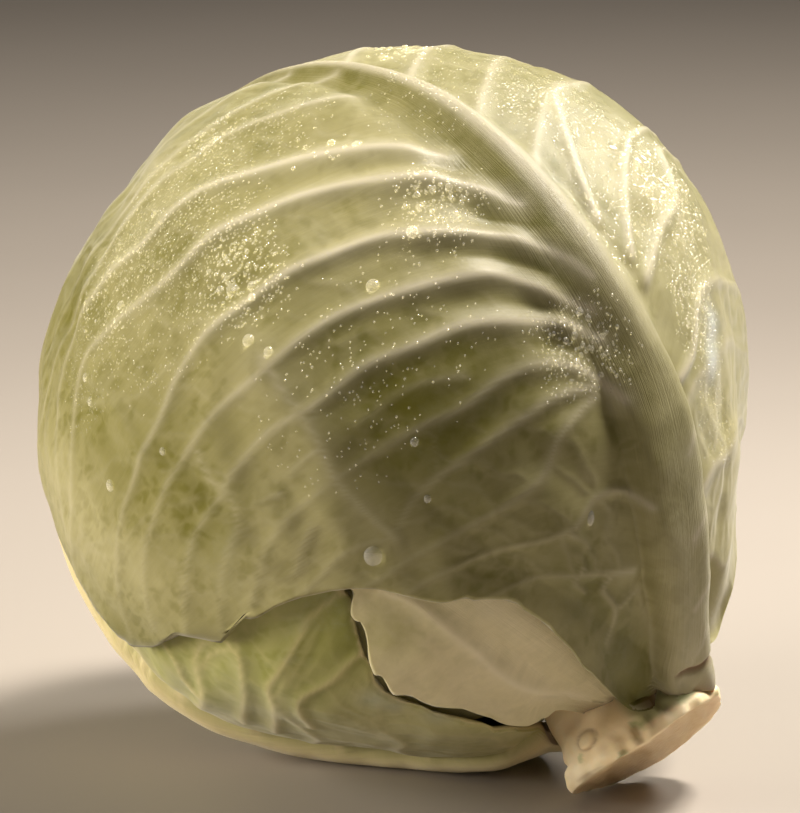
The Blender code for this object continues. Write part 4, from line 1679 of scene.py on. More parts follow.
    def dress(
        self, mesh: bpy.types.Mesh, directions: np.ndarray, tone: np.ndarray, share: np.ndarray,
        crack: np.ndarray, row: np.ndarray,
    ) -> None:
        """Stores what the leaf's material reads.

        Args:
            mesh: The leaf's mesh.
            directions: Its points' directions.
            tone: How much each point is vein.
            share: How far across the leaf it is.
            crack: The depth of the crack there.
            row: Its row.
        """
        place, across, squared = self.rib_share(directions)
        on_rib = np.exp(-np.abs(across / (1.1 - 0.15 * squared)) ** (2 + 6 * squared))
        cream = self.rib_cream - self.rib_green * (
            np.exp(-(((place + GREEN_PLACE) / GREEN_SPREAD) ** 2))
            + smooth_step((place - CREAM_END) / CREAM_FADE)
        )
        # Painted shade: the keeled midrib's steep inner flank, turned from the light, is darkened and made
        # less creamy
        painted_flank_shade = smooth_step((across - SHADED_FLANK_FROM) / SHADED_FLANK_RISE)
        painted_flank_shade = painted_flank_shade * (1 - smooth_step((across - SHADED_FLANK_TO) / SHADED_FLANK_FALL)) * (1 - squared)
        painted_flank_shade = painted_flank_shade * smooth_step((FURROW_END - place) / FURROW_FADE)
        painted_flank_shade = painted_flank_shade * (self.rib_shape is RibShape.KEELED)
        angle = stump_angle(directions)
        green = smooth_step((angle - self.shade_from) / (self.shade_to - self.shade_from))
        drift = 0.5 + 0.5 * Ripple(self.seed + 50, 60.0).at(directions * HEAD.radius)
        rim = smooth_step((share - 0.985) / 0.015)
        # The patches deepen the green, and on the front leaf they partly paint shade
        shade = green * (0.27 + 0.32 * drift) + patches_at(self.greens_and_painted_shade, directions) * (1 - on_rib * squared)
        # The flank's painted shade deepens the colour here
        shade += 0.18 * painted_flank_shade + 0.04 * on_rib * squared * self.rib_green
        snapped = 1 - smooth_step(row / 0.006)
        vein = np.maximum(0.9 * tone, cream * on_rib * (1 - 0.8 * painted_flank_shade)) + 0.5 * rim
        set_attributes(
            mesh, vein=vein, shade=shade, rib=on_rib, scar=crack + 0.7 * snapped,
            mist=patches_at(MIST, directions), wax=patches_at(self.waxes, directions),
        )


@dataclass(frozen=True)
class FineHeart:
    """The tight inner leaves, as one folded body round the socket for the stump."""

    finish: LeafFinish
    node: str = "heart"
    sides: int = 120
    rings: int = 90
    socket_angle: float = 12.05
    socket_depths: tuple[float, ...] = (33.0, 52.0, 66.0)
    rough_radius: float = 80.0
    skin_from: float = 72.0
    step: float = 1.3
    step_width: float = 2.5
    folds: tuple[tuple[float, float, float], ...] = (
        (118.0, -150.0, 62.0), (112.0, -12.0, 66.0), (122.0, 85.0, 60.0), (136.0, -80.0, 44.0),
    )

    def build(self) -> bpy.types.Object:
        """Makes the heart and puts it in place.

        Returns:
            The finished heart, in place.
        """
        tangent = math.tan(math.radians(self.socket_angle))
        profile = [(0.0, -self.socket_depths[0])]
        profile += [(depth * tangent, -depth) for depth in self.socket_depths]
        for ring in range(self.rings + 1):
            angle = self.socket_angle + (180.0 - self.socket_angle) * ring / self.rings
            x, _, z = head_direction(angle, 0.0) * self.rough_radius
            profile.append((x if ring < self.rings else 0.0, z))
        piece = add_piece(turned(profile, self.sides), "heart_fine", self.finish.material())
        points = mesh_points(piece.data)
        length = np.linalg.norm(points, axis=1)
        skin = length > self.skin_from
        directions = points / np.maximum(length, 1.0)[:, None]
        fold = np.zeros(len(points))
        for angle, azimuth, size in self.folds:
            away = angle_between(directions, head_direction(angle, azimuth))
            fold += smooth_step((away - size) / self.step_width) / len(self.folds)
        radius = heart_surface(directions) - self.step * (1 + fold)
        points[skin] = directions[skin] * radius[skin, None]
        place_points(piece.data, HEAD.to_world(points))
        self.dress(piece.data, directions, fold)
        ride(piece, self.node)
        return piece

    @staticmethod
    def dress(mesh: bpy.types.Mesh, directions: np.ndarray, fold: np.ndarray) -> None:
        """Stores what the heart's material reads.

        Args:
            mesh: The heart's mesh.
            directions: Unit directions from the head's centre.
            fold: How far outside the folds each point is.
        """
        azimuth = np.degrees(np.arctan2(directions[:, 1], directions[:, 0]))
        angle = stump_angle(directions)
        veins = np.abs(np.sin(np.radians(6 * azimuth + 14 * np.sin(np.radians(2 * angle)))))
        vein = np.minimum(1 - veins * 3.0, 0.7)
        set_attributes(mesh, vein=vein, shade=0.25 + 0.3 * fold, rib=0.0, scar=0.0, mist=0.0, wax=0.0)
        set_map(mesh, "leaf", np.stack((angle, azimuth), axis=1) * math.radians(1.0) * 0.9)
        set_map(mesh, "stream", np.stack((azimuth, angle), axis=1) / 180.0)


def turned(profile: list[tuple[float, float]], sides: int) -> bmesh.types.BMesh:
    """Turns a profile of (radius, height) points round the upright axis.

    Args:
        profile: The points, starting and ending on the axis.
        sides: How many sides the turned shape has.

    Returns:
        The closed mesh.
    """
    bm = bmesh.new()
    verts = [bm.verts.new((radius, 0.0, height)) for radius, height in profile]
    edges = [bm.edges.new(pair) for pair in zip(verts, verts[1:])]
    bmesh.ops.spin(
        bm, geom=verts + edges, cent=(0, 0, 0), axis=(0, 0, 1), angle=math.tau,
        steps=sides, use_merge=True, use_duplicate=False,
    )
    bmesh.ops.remove_doubles(bm, verts=bm.verts[:], dist=0.005)
    return bm


@dataclass(frozen=True)
class FineStump:
    """The cut stalk: its cone in the head, its neck with a bud and leaf scars, its lip and its cut face."""

    finish: StumpFinish
    node: str = "stump"
    sides: int = 144
    half_angle: float = 11.8
    top: float = 35.0
    lip_start: float = 95.0
    lip_azimuth: float = 186.0
    lip_spread: float = 20.0
    lip_reach: float = 1.6
    shoulder: float = 99.6
    cut: float = 101.6
    bud: tuple[float, float] = (95.0, -128.0)
    bud_size: float = 2.6
    far_slant: float = 2.2
    near_slant: float = 2.5
    slant_start: float = 90.0
    neck: Pair = (84.0, 98.0)
    face_radius: float = 13.0
    root: tuple[float, float, float] = (-62.0, 22.0, 92.0)
    remnant: Pair = (-58.0, 26.0)
    rounding: float = 0.6
    hollow: float = 0.5

    def profile(self) -> list[tuple[float, float]]:
        """Gives the turned profile, from the tip of the cone to the middle of the cut.

        Returns:
            The (radius, height) points, in millimetres.
        """
        tangent = math.tan(math.radians(self.half_angle))
        points = [(0.0, -self.top)]
        depths = list(np.linspace(self.top, 80.0, 6)) + list(np.linspace(81.0, self.shoulder, 34))
        points += [(depth * tangent, -depth) for depth in depths]
        rim = self.shoulder * tangent
        for turn in np.linspace(0.15, 1.0, 8):
            angle = turn * math.pi / 2
            x = rim - self.rounding + self.rounding * math.cos(angle)
            points.append((x, -self.shoulder - (self.cut - self.shoulder) * math.sin(angle)))
        for share in np.linspace(0.93, 0.0, 22):
            points.append((share * (rim - self.rounding), -self.cut + self.hollow * (1 - share ** 2)))
        return points

    def build(self) -> bpy.types.Object:
        """Makes the stump and puts it in place.

        Returns:
            The finished stump, in place.
        """
        piece = add_piece(turned(self.profile(), self.sides), "stump_fine", self.finish.material())
        points = mesh_points(piece.data)
        radius = np.hypot(points[:, 0], points[:, 1])
        azimuth = np.degrees(np.arctan2(points[:, 1], points[:, 0]))
        depth = -points[:, 2]
        turn = np.radians(azimuth)
        lip = self.lip_reach * np.exp(-((turn_from(azimuth, self.lip_azimuth) / self.lip_spread) ** 2))
        uneven = -0.5 - 0.35 * np.sin(np.radians(3 * azimuth + 40.0)) - 0.15 * np.sin(7 * turn)
        nicks = 0.4 * np.sin(23 * turn) * np.sin(np.radians(5 * azimuth + 30.0))
        nicks = nicks + 0.45 * Ripple(85, 4.5).at(points)
        skirt = smooth_step((radius - self.face_radius) / 4.0)
        flange = smooth_step((depth - self.lip_start) / 2.5) * skirt
        neck = smooth_step((depth - self.neck[0]) / 4.0) * (1 - smooth_step((depth - self.neck[1]) / 2.0))
        scars = 0.25 * np.sin(4 * turn + 0.9 * depth) + 0.2 * np.sin(9 * turn - 0.5 * depth)
        root_azimuth, root_width, root_start = self.root
        root = 1 - smooth_step((np.abs(turn_from(azimuth, root_azimuth)) - root_width) / 8.0)
        flare = root * smooth_step((depth - root_start) / 4.0) * skirt
        bump, ring = self.bud_relief(azimuth, depth, radius)
        grown = flange * (lip + uneven + nicks) + neck * (scars - 0.45 + bump) + flare
        points[:, :2] *= (1 + grown / np.maximum(radius, 1.0))[:, None]
        face = smooth_step((depth - self.shoulder) / 1.2) * smooth_step((19.6 - radius) / 1.2)
        grain = Ripple(81, 5.0).at(points * np.array((1.0, 0.16, 1.0)))
        points[:, 2] += face * (0.28 * grain + 0.5 * Ripple(82, 22.0).at(points))
        slant = self.far_slant * smooth_step((np.sin(turn) + 0.3) / 1.3)
        slant += self.near_slant * np.minimum(np.cos(turn), 0.0)
        slant *= smooth_step((depth - self.slant_start) / 8.0)
        points[:, 2] -= slant * np.minimum(radius / 20.0, 1.0)
        world = HEAD.to_world(points)
        world[:, 2] = np.maximum(world[:, 2], 0.0)
        place_points(piece.data, world)
        self.dress(piece.data, points, face, ring, azimuth, depth)
        ride(piece, self.node)
        return piece

    def bud_relief(self, azimuth: np.ndarray, depth: np.ndarray, radius: np.ndarray) -> tuple:
        """Gives the height of the oval bud on the neck, and where the groove round it is.

        Args:
            azimuth: The points' azimuths.
            depth: Their depths below the head's centre.
            radius: Their distances from the stump's axis.

        Returns:
            The height at each point, and how much it is groove.
        """
        turn = np.radians(turn_from(azimuth, self.bud[1])) * radius
        away = np.hypot(turn / 1.25, depth - self.bud[0] + 2.0)
        dome = 0.9 * np.clip(1 - (away / self.bud_size) ** 2, 0.0, 1.0) ** 0.6
        ring = np.exp(-(((away - self.bud_size) / 0.45) ** 2))
        return dome - 0.35 * ring, ring * (radius > 10.0)

    def dress(
        self, mesh: bpy.types.Mesh, points: np.ndarray, face: np.ndarray, ring: np.ndarray,
        azimuth: np.ndarray, depth: np.ndarray,
    ) -> None:
        """Stores what the stump's material reads.

        Args:
            mesh: The stump's mesh.
            points: Its points, upright.
            face: How much each point is on the cut face.
            ring: How much it is in the groove round the bud.
            azimuth: Its azimuth in degrees.
            depth: Its depth below the head's centre.
        """
        aside = np.abs(turn_from(azimuth, self.remnant[0])) - self.remnant[1]
        remnant = (1 - smooth_step(aside / 12.0)) * (1 - smooth_step((depth - 97.5) / 1.5))
        specks = smooth_step((Ripple(83, 5.0).at(points) - 0.9) / 0.5) * smooth_step((depth - 93.0) / 2.0)
        edge = np.exp(-(((depth - 100.6) / 0.7) ** 2)) * (1 - face)
        streak = smooth_step((Ripple(84, 9.0).at(points) - 0.7) / 0.6)
        green = 0.75 * remnant + 0.6 * specks * (1 - face)
        set_attributes(mesh, cut=face, green=green, scar=0.4 * ring + 0.35 * edge * streak)
        set_map(mesh, "grain", np.stack((points[:, 0] * 0.12, points[:, 1]), axis=1) / 20.0)


class DropSize(Enum):
    """How finely a drop is modelled: sides round it and rings up it."""

    SPECK = (5, 1)
    BEAD = (7, 2)
    DROP = (14, 5)


@dataclass(frozen=True)
class Dew:
    """Water drops standing on the leaves."""

    name: str
    size: DropSize
    clusters: tuple[Cluster, ...]
    seed: int
    height: float = 0.52
    sink: float = 0.25
    foot: float = 0.82
    roundness: float = 0.9
    reach: Pair = (0.7, 1.2)
    smallness: float = 2.5
    closeness: float = 0.95
    cell: float = 0.004
    sky: float = 0.2

    def template(self) -> bmesh.types.BMesh:
        """Models one drop of radius 1 on the plane z = 0, a little sunk into it.

        Returns:
            The drop's mesh.
        """
        sides, rings = self.size.value
        angles = np.linspace(0.0, math.pi / 2, rings + 1)
        profile = [(0.0, -self.sink), (self.foot, -self.sink)]
        profile += [(math.cos(a) ** self.roundness, self.height * math.sin(a)) for a in angles[:-1]]
        profile.append((0.0, self.height))
        return turned(profile, sides)

    def wanted(self) -> list[tuple[np.ndarray, float, float]]:
        """Draws the drops' directions, radii and runs.

        Returns:
            For each drop its direction, its radius and its run.
        """
        draw = np.random.default_rng(self.seed)
        drops = []
        for patch in self.clusters:
            middle = SIGHT.directions(((patch.x, patch.y),))[0]
            side = unit(np.cross(middle, (0.0, 0.0, 1.0)))
            up = np.cross(side, middle)
            for _ in range(patch.drops):
                turn = draw.uniform(0.0, math.tau)
                away = patch.spread / HEAD.radius * math.sqrt(draw.uniform()) * draw.uniform(*self.reach)
                aim = middle + away * (math.cos(turn) * side + math.sin(turn) * up)
                size = draw.uniform() ** self.smallness
                radius = patch.smallest + (patch.largest - patch.smallest) * size
                drops.append((unit(aim), radius, patch.run))
        return drops

    def build(self, skins: list[BVHTree]) -> bpy.types.Object:
        """Makes all the drops as one piece.

        Args:
            skins: The leaves' surfaces.

        Returns:
            The drops, in place.
        """
        template = self.template()
        stamp = bpy.data.meshes.new(self.name + "_template")
        template.to_mesh(stamp)
        template.free()
        one = mesh_points(stamp)
        settled = self.settle(skins)
        bm = bmesh.new()
        for _ in settled:
            bm.from_mesh(stamp)
        piece = add_piece(bm, self.name, WaterFinish(self.name + "_water").material())
        bpy.data.meshes.remove(stamp)
        points = [spot + (one * radius * MM) @ axes for spot, radius, axes in settled]
        place_points(piece.data, np.concatenate(points))
        piece.visible_shadow = False
        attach(piece, "root")
        LOG.info("%s: %d drops", self.name, len(settled))
        return piece

    def settle(self, skins: list[BVHTree]) -> list[tuple[np.ndarray, float, np.ndarray]]:
        """Sets the drops down on the outermost leaf, apart from each other.

        Args:
            skins: The leaves' surfaces.

        Returns:
            For each drop its place, its radius and its axes.
        """
        centre = Vector(HEAD.to_world(np.zeros(3)))
        turn = HEAD.turn()
        kept: list[tuple[np.ndarray, float, np.ndarray]] = []
        cells: dict[tuple[int, ...], list[tuple[np.ndarray, float]]] = {}
        for aim, radius, run in sorted(self.wanted(), key=lambda drop: -drop[1]):
            ray = Vector(turn @ aim)
            hits = [skin.ray_cast(centre + ray * self.sky, -ray, self.sky) for skin in skins]
            hits = [hit for hit in hits if hit[0] is not None]
            if not hits:
                continue
            spot, normal = max(hits, key=lambda hit: (hit[0] - centre).length)[:2]
            key = tuple(int(value // self.cell) for value in spot)
            near = [
                other for step in product((-1, 0, 1), repeat=3)
                for other in cells.get(tuple(map(sum, zip(key, step))), ())
            ]
            place, reach = np.array(spot), self.closeness
            if any(np.linalg.norm(place - other) < reach * (radius + size) * MM for other, size in near):
                continue
            cells.setdefault(key, []).append((place, radius))
            kept.append((place, radius, self.axes(np.array(normal), run)))
        return kept

    @staticmethod
    def axes(normal: np.ndarray, run: float) -> np.ndarray:
        """Finds a drop's axes on a slope.

        Args:
            normal: The leaf's normal.
            run: How far the drop is drawn out.

        Returns:
            Its axes as rows: across the slope, down it and out of the leaf.
        """
        down = np.array((0.0, 0.0, -1.0)) - normal * -normal[2]
        steep = np.linalg.norm(down)
        down = down / steep if steep > 0.05 else np.cross(normal, (1.0, 0.0, 0.0))
        across = np.cross(down, normal)
        return np.stack((across, down * (1 + (run - 1) * min(steep, 1.0)), normal))


@dataclass(frozen=True)
class Lamp:
    """One square soft light that looks at the head; lengths are in metres.

    It may mirror in glossy skin or not, and it aims at the head's centre or past it.
    """

    name: str
    place: Colour
    size: float
    watts: float
    colour: Colour
    spread: float
    shows: bool = True
    past: float = 0.0

    def hang(self) -> None:
        """Hangs the light."""
        light = bpy.data.lights.new(self.name, "AREA")
        light.shape = "SQUARE"
        light.size = self.size
        light.energy = self.watts
        light.color = self.colour
        light.spread = math.radians(self.spread)
        lamp = bpy.data.objects.new(self.name, light)
        lamp.location = self.place
        lamp.visible_glossy = self.shows
        aim = Vector((0.0, self.past, HEAD.centre_height * MM)) - Vector(self.place)
        lamp.rotation_euler = aim.to_track_quat("-Z", "Y").to_euler()
        bpy.context.scene.collection.objects.link(lamp)


@dataclass(frozen=True)
class Studio:
    """The floor, the lights and the camera."""

    floor_size: float = 3.0
    sky: Colour = (1.0, 0.88, 0.76)
    sky_strength: float = 0.02
    lamps: tuple[Lamp, ...] = (
        Lamp("key", (0.55, 0.17, 1.46), 0.36, 15.5, (1.0, 0.92, 0.81), 110.0, past=0.3),
        Lamp("rear", (0.59, 0.56, 0.66), 0.25, 0.9, (1.0, 0.95, 0.88), 60.0),
        Lamp("side", (-0.85, -0.15, 0.28), 0.5, 5.3, (1.0, 0.92, 0.80), 120.0, shows=False),
    )

    def build(self) -> None:
        """Sets the studio up."""
        self.floor()
        self.lights()
        self.camera()

    def floor(self) -> None:
        """Lays the floor."""
        bm = bmesh.new()
        bmesh.ops.create_grid(bm, x_segments=2, y_segments=2, size=self.floor_size)
        add_piece(bm, "floor", FloorFinish().material())

    def lights(self) -> None:
        """Lights the head from above, from behind on the right, and softly from the left."""
        for lamp in self.lamps:
            lamp.hang()
        world = bpy.data.worlds.new("studio")
        world.use_nodes = True
        background = world.node_tree.nodes["Background"]
        background.inputs["Color"].default_value = (*self.sky, 1.0)
        background.inputs["Strength"].default_value = self.sky_strength
        bpy.context.scene.world = world
        bpy.context.scene.view_settings.view_transform = "Standard"

    def camera(self) -> None:
        """Places the camera where the view was read from."""
        camera = bpy.data.cameras.new("camera")
        widest = max(SIGHT.image)
        camera.lens = camera.sensor_width * SIGHT.focal / widest
        camera.shift_x = (SIGHT.image[0] / 2 - SIGHT.middle[0]) / widest
        camera.shift_y = (SIGHT.middle[1] - SIGHT.image[1] / 2) / widest
        camera.clip_start = 0.01
        holder = bpy.data.objects.new("camera", camera)
        centre = Vector((0.0, 0.0, HEAD.centre_height * MM))
        tilt = math.radians(SIGHT.elevation)
        holder.location = centre + SIGHT.distance * MM * Vector((0.0, -math.cos(tilt), math.sin(tilt)))
        holder.rotation_euler = (centre - holder.location).to_track_quat("-Z", "Y").to_euler()
        bpy.context.scene.collection.objects.link(holder)
        bpy.context.scene.camera = holder


OUTER_SKIN = LeafFinish(
    "front leaf skin", pale=(0.46, 0.42, 0.22), deep=(0.14, 0.13, 0.012), vein=(0.63, 0.58, 0.44),
    bloom=0.15, wet=0.14,
)
PALE_SKIN = LeafFinish(
    "pale leaf skin", pale=(0.80, 0.71, 0.46), deep=(0.46, 0.42, 0.20), vein=(0.84, 0.76, 0.55),
    bloom=0.3, wet=0.15,
)
UNDER_SKIN = LeafFinish(
    "under leaf skin", pale=(0.60, 0.56, 0.27), deep=(0.26, 0.27, 0.05), vein=(0.88, 0.74, 0.44),
    bloom=0.3, wet=0.15,
)
BACK_SKIN = LeafFinish(
    "back leaf skin", pale=(0.47, 0.45, 0.24), deep=(0.32, 0.33, 0.13), vein=(0.64, 0.59, 0.38),
    bloom=0.5, wet=0.25,
)
HEART_SKIN = LeafFinish(
    "heart skin", pale=(0.66, 0.62, 0.40), deep=(0.56, 0.53, 0.28), vein=(0.74, 0.70, 0.52),
    bloom=0.2, wet=0.1,
)

# Read off the visible side of the front leaf, from the tip down
FRONT_VEINS = (
    Trace((
        (350, 94), (300, 104), (265, 113), (220, 132), (185, 160), (150, 188), (122, 220), (98, 252),
        (85, 280),
    ), (0.9, 0.3), tail=True),
    Trace((
        (440, 154), (390, 147), (340, 148), (290, 156), (250, 169), (212, 185), (172, 212), (145, 240),
        (110, 268), (82, 305), (62, 350), (53, 400), (55, 470), (64, 540), (85, 600), (96, 624),
    ), (1.8, 0.2)),
    Trace((
        (520, 205), (485, 190), (440, 178), (390, 178), (340, 182), (290, 195), (250, 215), (215, 235),
        (180, 265), (140, 297), (105, 327), (77, 367), (68, 430), (67, 500), (75, 580), (100, 628),
    ), (2.2, 0.2)),
    Trace((
        (585, 280), (555, 255), (510, 237), (445, 232), (370, 237), (330, 252), (280, 277), (247, 302),
        (210, 330), (177, 370), (152, 430), (132, 472), (115, 525), (112, 575), (114, 600), (130, 640),
    ), (2.5, 0.22), (4.2, 1.5)),
    Trace((
        (590, 310), (552, 292), (500, 273), (435, 281), (385, 295), (345, 310), (305, 335), (260, 375),
        (215, 410), (180, 460), (155, 505), (140, 562), (150, 632),
    ), (2.2, 0.22), (4.2, 1.5)),
    Trace((
        (602, 340), (570, 322), (530, 320), (460, 325), (415, 345), (365, 365), (322, 400), (265, 435),
        (237, 465), (215, 502), (190, 540), (182, 580), (185, 635),
    ), (2.0, 0.25), (4.2, 1.5)),
    Trace((
        (622, 400), (600, 377), (555, 362), (510, 375), (465, 407), (415, 430), (365, 460), (327, 485),
        (290, 517), (265, 550), (255, 585), (250, 605),
    ), (1.3, 0.25), (4.2, 1.5)),
    Trace((
        (600, 385), (560, 397), (520, 422), (480, 450), (442, 477), (410, 507), (395, 535), (350, 550),
        (317, 580), (305, 592),
    ), (1.1, 0.25), (3.2, 1.4)),
    Trace((
        (600, 395), (580, 415), (560, 440), (545, 477), (515, 502), (465, 532), (410, 560), (365, 587),
    ), (0.9, 0.3), (2.8, 1.4)),
    Trace((
        (645, 505), (627, 492), (597, 500), (577, 525), (555, 537), (505, 552), (460, 567), (425, 582),
        (400, 597),
    ), (0.8, 0.3), (1.8, 1.3)),
    Trace(((636, 572), (580, 577), (530, 582), (480, 600)), (0.7, 0.25), (2.4, 1.3)),
    Trace(((600, 217), (585, 180), (572, 139), (560, 108), (554, 92)), (1.2, 0.3), (2.2, 1.3), True),
    Trace(((632, 255), (629, 205), (627, 161), (632, 133)), (1.1, 0.3), (1.8, 1.3), True),
    Trace(((647, 280), (665, 225), (677, 195), (670, 165), (662, 150)), (1.0, 0.3), (1.8, 1.3), True),
    Trace((
        (680, 380), (695, 350), (697, 320), (703, 290), (715, 280), (730, 281),
    ), (1.2, 0.3), (1.8, 1.3), True),
)
FRONT_BRANCHES = (
    Trace(((262, 358), (290, 400), (318, 440), (335, 480), (362, 510), (395, 540)), (0.7, 0.5), (6.5, 5.0)),
    Trace(((225, 490), (237, 527), (225, 555), (217, 592), (220, 640)), (0.4, 0.2), (2.4, 1.8)),
    Trace(((195, 452), (202, 472), (217, 490)), (0.4, 0.4), (1.4, 1.4)),
    Trace(((465, 375), (415, 385), (355, 425)), (0.5, 0.3), (2.5, 2.0)),
    Trace(((315, 452), (300, 462), (287, 477)), (0.6, 0.3), (1.2, 1.0)),
    Trace(((315, 410), (310, 425), (305, 442)), (0.6, 0.3), (1.2, 1.0)),
    Trace(((277, 495), (267, 499), (257, 502)), (0.5, 0.3), (1.2, 1.0)),
    Trace(((310, 530), (300, 555), (295, 575)), (0.4, 0.3), (1.4, 1.2)),
    Trace(((572, 535), (585, 542), (590, 550)), (0.5, 0.3), (1.3, 1.1)),
    Trace(((585, 570), (577, 585), (587, 595)), (0.5, 0.3), (1.3, 1.1)),
    Trace(((612, 580), (605, 590), (612, 602), (620, 610), (627, 605), (640, 595)), (0.5, 0.4), (1.2, 1.1)),
    Trace(((617, 610), (612, 630), (605, 640)), (0.5, 0.3), (1.2, 1.0)),
    Trace(((642, 590), (652, 625), (657, 662), (650, 690)), (0.3, 0.3), (2.0, 2.0)),
)
UNDER_VEINS = (
    Trace((
        (275, 735), (270, 710), (265, 695), (280, 675), (292, 655), (305, 632), (327, 615), (350, 597),
    ), (0.9, 0.5), (2.2, 1.6)),
    Trace(((310, 735), (300, 705), (330, 692), (350, 677), (362, 671)), (0.8, 0.5), (2.0, 1.5)),
    Trace(((243, 725), (237, 687), (227, 662), (217, 655)), (0.8, 0.5), (2.0, 1.5)),
    Trace(((192, 697), (180, 687), (165, 667), (152, 652)), (0.8, 0.5), (2.0, 1.5)),
    Trace(((190, 680), (195, 672), (215, 662), (230, 660)), (0.6, 0.4), (1.6, 1.4)),
)
PALE_TRACES = (
    Trace((
        (590, 710), (550, 702), (520, 692), (500, 680), (480, 662), (455, 642), (430, 622), (405, 607),
        (380, 597),
    ), (1.2, 0.9), (3.4, 2.6)),
    Trace(((455, 605), (460, 620), (466, 640)), (0.4, 0.3), (1.2, 1.0)),
)

SHORT_VEINS = (-74.0, -64.0, -54.0, -45.0, -35.0, -25.0, -15.0, -4.0, 8.0, 20.0, 33.0, 46.0, 60.0)
SHORT_PLAN = VeinPlan((SHORT_VEINS, SHORT_VEINS))
FRONT_PLAN = VeinPlan(
    ((40.0, 53.0, 67.0, 81.0), (-70.0, -58.0, -46.0, 3.0, 15.0, 27.0, 40.0, 53.0, 67.0, 81.0)),
    FRONT_VEINS, FRONT_BRANCHES,
)
PALE_PLAN = VeinPlan(((-5.0, 6.0, 18.0, 32.0, 48.0, 64.0), (6.0, 18.0, 32.0, 48.0, 64.0)), PALE_TRACES)
UNDER_PLAN = VeinPlan((SHORT_VEINS, SHORT_VEINS), (), UNDER_VEINS)


def leaf_pieces() -> list[FineLeaf]:
    """Lists the six loose leaves, outermost first.

    Returns:
        The leaves, before they are built.
    """
    return [
        FineLeaf(
            FRONT, OUTER_SKIN, FRONT_PLAN, seed=11, rows=340, columns=272,
            rib_shape=RibShape.KEELED, crack=Crack(angle=15.2),
            swells=patches((245, 395, 0.7, 18.0), (430, 480, -1.0, 24.0)),
            # Green patches: most deepen the leaf's own green, but the broad one over the middle and those
            # on the low lobe by the midrib's foot are partly painted shade where little light reaches
            greens_and_painted_shade=patches(
                (600, 610, 0.7, 13.0), (622, 655, 0.8, 9.0), (628, 688, 0.9, 8.0), (638, 708, 0.5, 6.0),
                (565, 570, 0.4, 13.0), (430, 440, 0.3, 28.0), (490, 590, 0.35, 8.0),
                (215, 540, 0.25, 10.0), (680, 470, 0.3, 18.0), (640, 400, 0.4, 8.0),
            ),
            waxes=patches((716, 320, 1.0, 4.0), (714, 365, 1.0, 4.0), (716, 345, 0.8, 4.0)),
        ),
        FineLeaf(
            PALE, PALE_SKIN, PALE_PLAN, seed=12, rows=200, columns=150,
            greens_and_painted_shade=patches((385, 640, 0.7, 8.0)),
        ),
        FineLeaf(
            UNDER, UNDER_SKIN, UNDER_PLAN, seed=13, rows=290, columns=230,
            rib_shape=RibShape.SQUARE, rib_cream=1.0, rib_green=0.0,
            greens_and_painted_shade=patches((340, 650, 0.8, 14.0), (300, 700, 0.3, 16.0)),
            waxes=patches((372, 712, 0.5, 4.0), (440, 728, 0.45, 4.0), (395, 720, 0.4, 3.0)),
        ),
        FineLeaf(BACK, BACK_SKIN, SHORT_PLAN, seed=14, rows=250, columns=200),
        FineLeaf(LOW_BACK, BACK_SKIN, SHORT_PLAN, seed=15, rows=200, columns=170),
        FineLeaf(RIGHT, BACK_SKIN, SHORT_PLAN, seed=16, rows=160, columns=130),
    ]


def clusters(*rows: tuple[float, ...]) -> tuple[Cluster, ...]:
    """Makes clusters from rows of their numbers."""
    return tuple(Cluster(*row) for row in rows)


def lone_drops(*rows: tuple[float, ...]) -> tuple[Cluster, ...]:
    """Makes clusters of a single drop from rows of (x, y, radius) or (x, y, radius, run)."""
    return tuple(Cluster(x, y, 0.1, 1, radius, radius, *run) for x, y, radius, *run in rows)


SPECKS = Dew("dew_specks", DropSize.SPECK, clusters(
    (560, 100, 22.0, 900, 0.22, 0.42), (480, 70, 20.0, 600, 0.22, 0.4),
    (620, 170, 20.0, 900, 0.22, 0.42), (680, 230, 18.0, 900, 0.22, 0.42),
    (705, 330, 14.0, 500, 0.22, 0.4), (720, 420, 12.0, 220, 0.22, 0.4),
    (250, 120, 20.0, 700, 0.2, 0.38), (170, 190, 20.0, 900, 0.2, 0.4), (110, 280, 18.0, 700, 0.2, 0.4),
    (200, 230, 18.0, 600, 0.2, 0.4), (235, 275, 15.0, 450, 0.22, 0.42), (80, 370, 14.0, 300, 0.2, 0.36),
    (150, 330, 18.0, 350, 0.2, 0.36), (440, 200, 13.0, 300, 0.22, 0.42),
    (580, 350, 13.0, 320, 0.22, 0.42), (400, 330, 22.0, 160, 0.22, 0.36),
    (330, 420, 18.0, 120, 0.22, 0.36), (430, 100, 16.0, 260, 0.2, 0.36),
), seed=31, height=0.34)
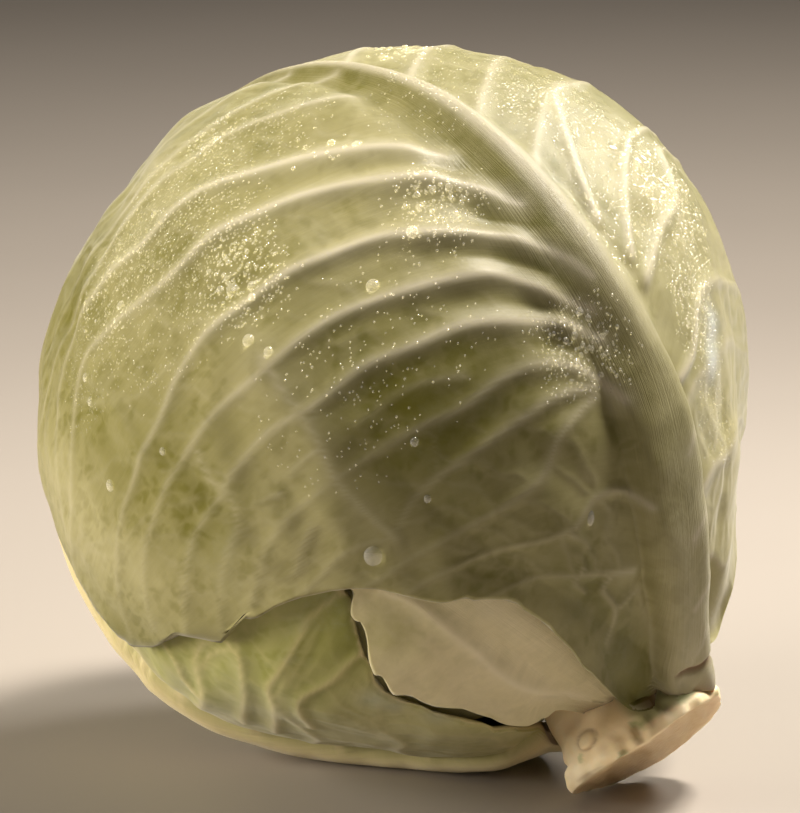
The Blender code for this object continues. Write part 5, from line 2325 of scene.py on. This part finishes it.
BEADS = Dew("dew_beads", DropSize.BEAD, clusters(
    (440, 200, 8.5, 90, 0.3, 0.6), (580, 350, 9.5, 100, 0.3, 0.6), (240, 270, 12.0, 120, 0.3, 0.6),
    (660, 170, 16.0, 340, 0.3, 0.65), (620, 220, 14.0, 220, 0.3, 0.6), (560, 110, 14.0, 260, 0.3, 0.6),
    (700, 300, 12.0, 200, 0.3, 0.6), (320, 140, 9.0, 20, 0.35, 0.6), (110, 290, 13.0, 100, 0.3, 0.55),
    (210, 130, 8.0, 100, 0.3, 0.6), (400, 47, 9.0, 50, 0.4, 0.8), (690, 215, 12.0, 180, 0.3, 0.65, 1.5),
), seed=33)
DROPS = Dew("dew_drops", DropSize.DROP, clusters(
    (430, 195, 6.0, 14, 0.6, 0.95), (585, 340, 7.0, 14, 0.6, 0.95), (235, 275, 8.0, 12, 0.6, 1.0),
    (670, 200, 13.0, 26, 0.6, 1.2, 1.6), (640, 165, 10.0, 12, 0.7, 1.2, 1.9),
    (395, 47, 7.0, 10, 0.9, 1.6),
) + lone_drops(
    (231, 289, 1.5), (250, 285, 1.1), (372, 283, 1.6), (412, 232, 1.4), (249, 341, 1.4),
    (269, 352, 1.1), (105, 487, 1.4), (373, 557, 2.2), (593, 519, 1.1, 1.7), (330, 137, 1.1),
    (356, 142, 1.2), (415, 443, 1.0), (428, 502, 0.9), (80, 377, 1.1), (83, 401, 1.1), (115, 303, 1.1),
    (152, 212, 1.0), (160, 452, 0.9),
), seed=32)


def skin_of(piece: bpy.types.Object) -> BVHTree:
    """Gives a piece's surface, for setting drops down on it.

    Args:
        piece: The piece.

    Returns:
        Its faces, for casting rays at.
    """
    mesh = piece.data
    faces = [tuple(face.vertices) for face in mesh.polygons]
    return BVHTree.FromPolygons([vertex.co for vertex in mesh.vertices], faces)


def main() -> None:
    """Dresses the head, piece by piece."""
    logging.basicConfig(level=logging.INFO, format="%(message)s")
    leaves = []
    for leaf in leaf_pieces():
        leaves.append(leaf.build())
        LOG.info("%s: %d faces", leaf.form.name, len(leaves[-1].data.polygons))
    FineHeart(HEART_SKIN).build()
    FineStump(StumpFinish("stalk")).build()
    skins = [skin_of(piece) for piece in leaves[:3]]
    SPECKS.build(skins)
    BEADS.build(skins)
    DROPS.build(skins)
    Studio().build()


if __name__ == "__main__":
    main()
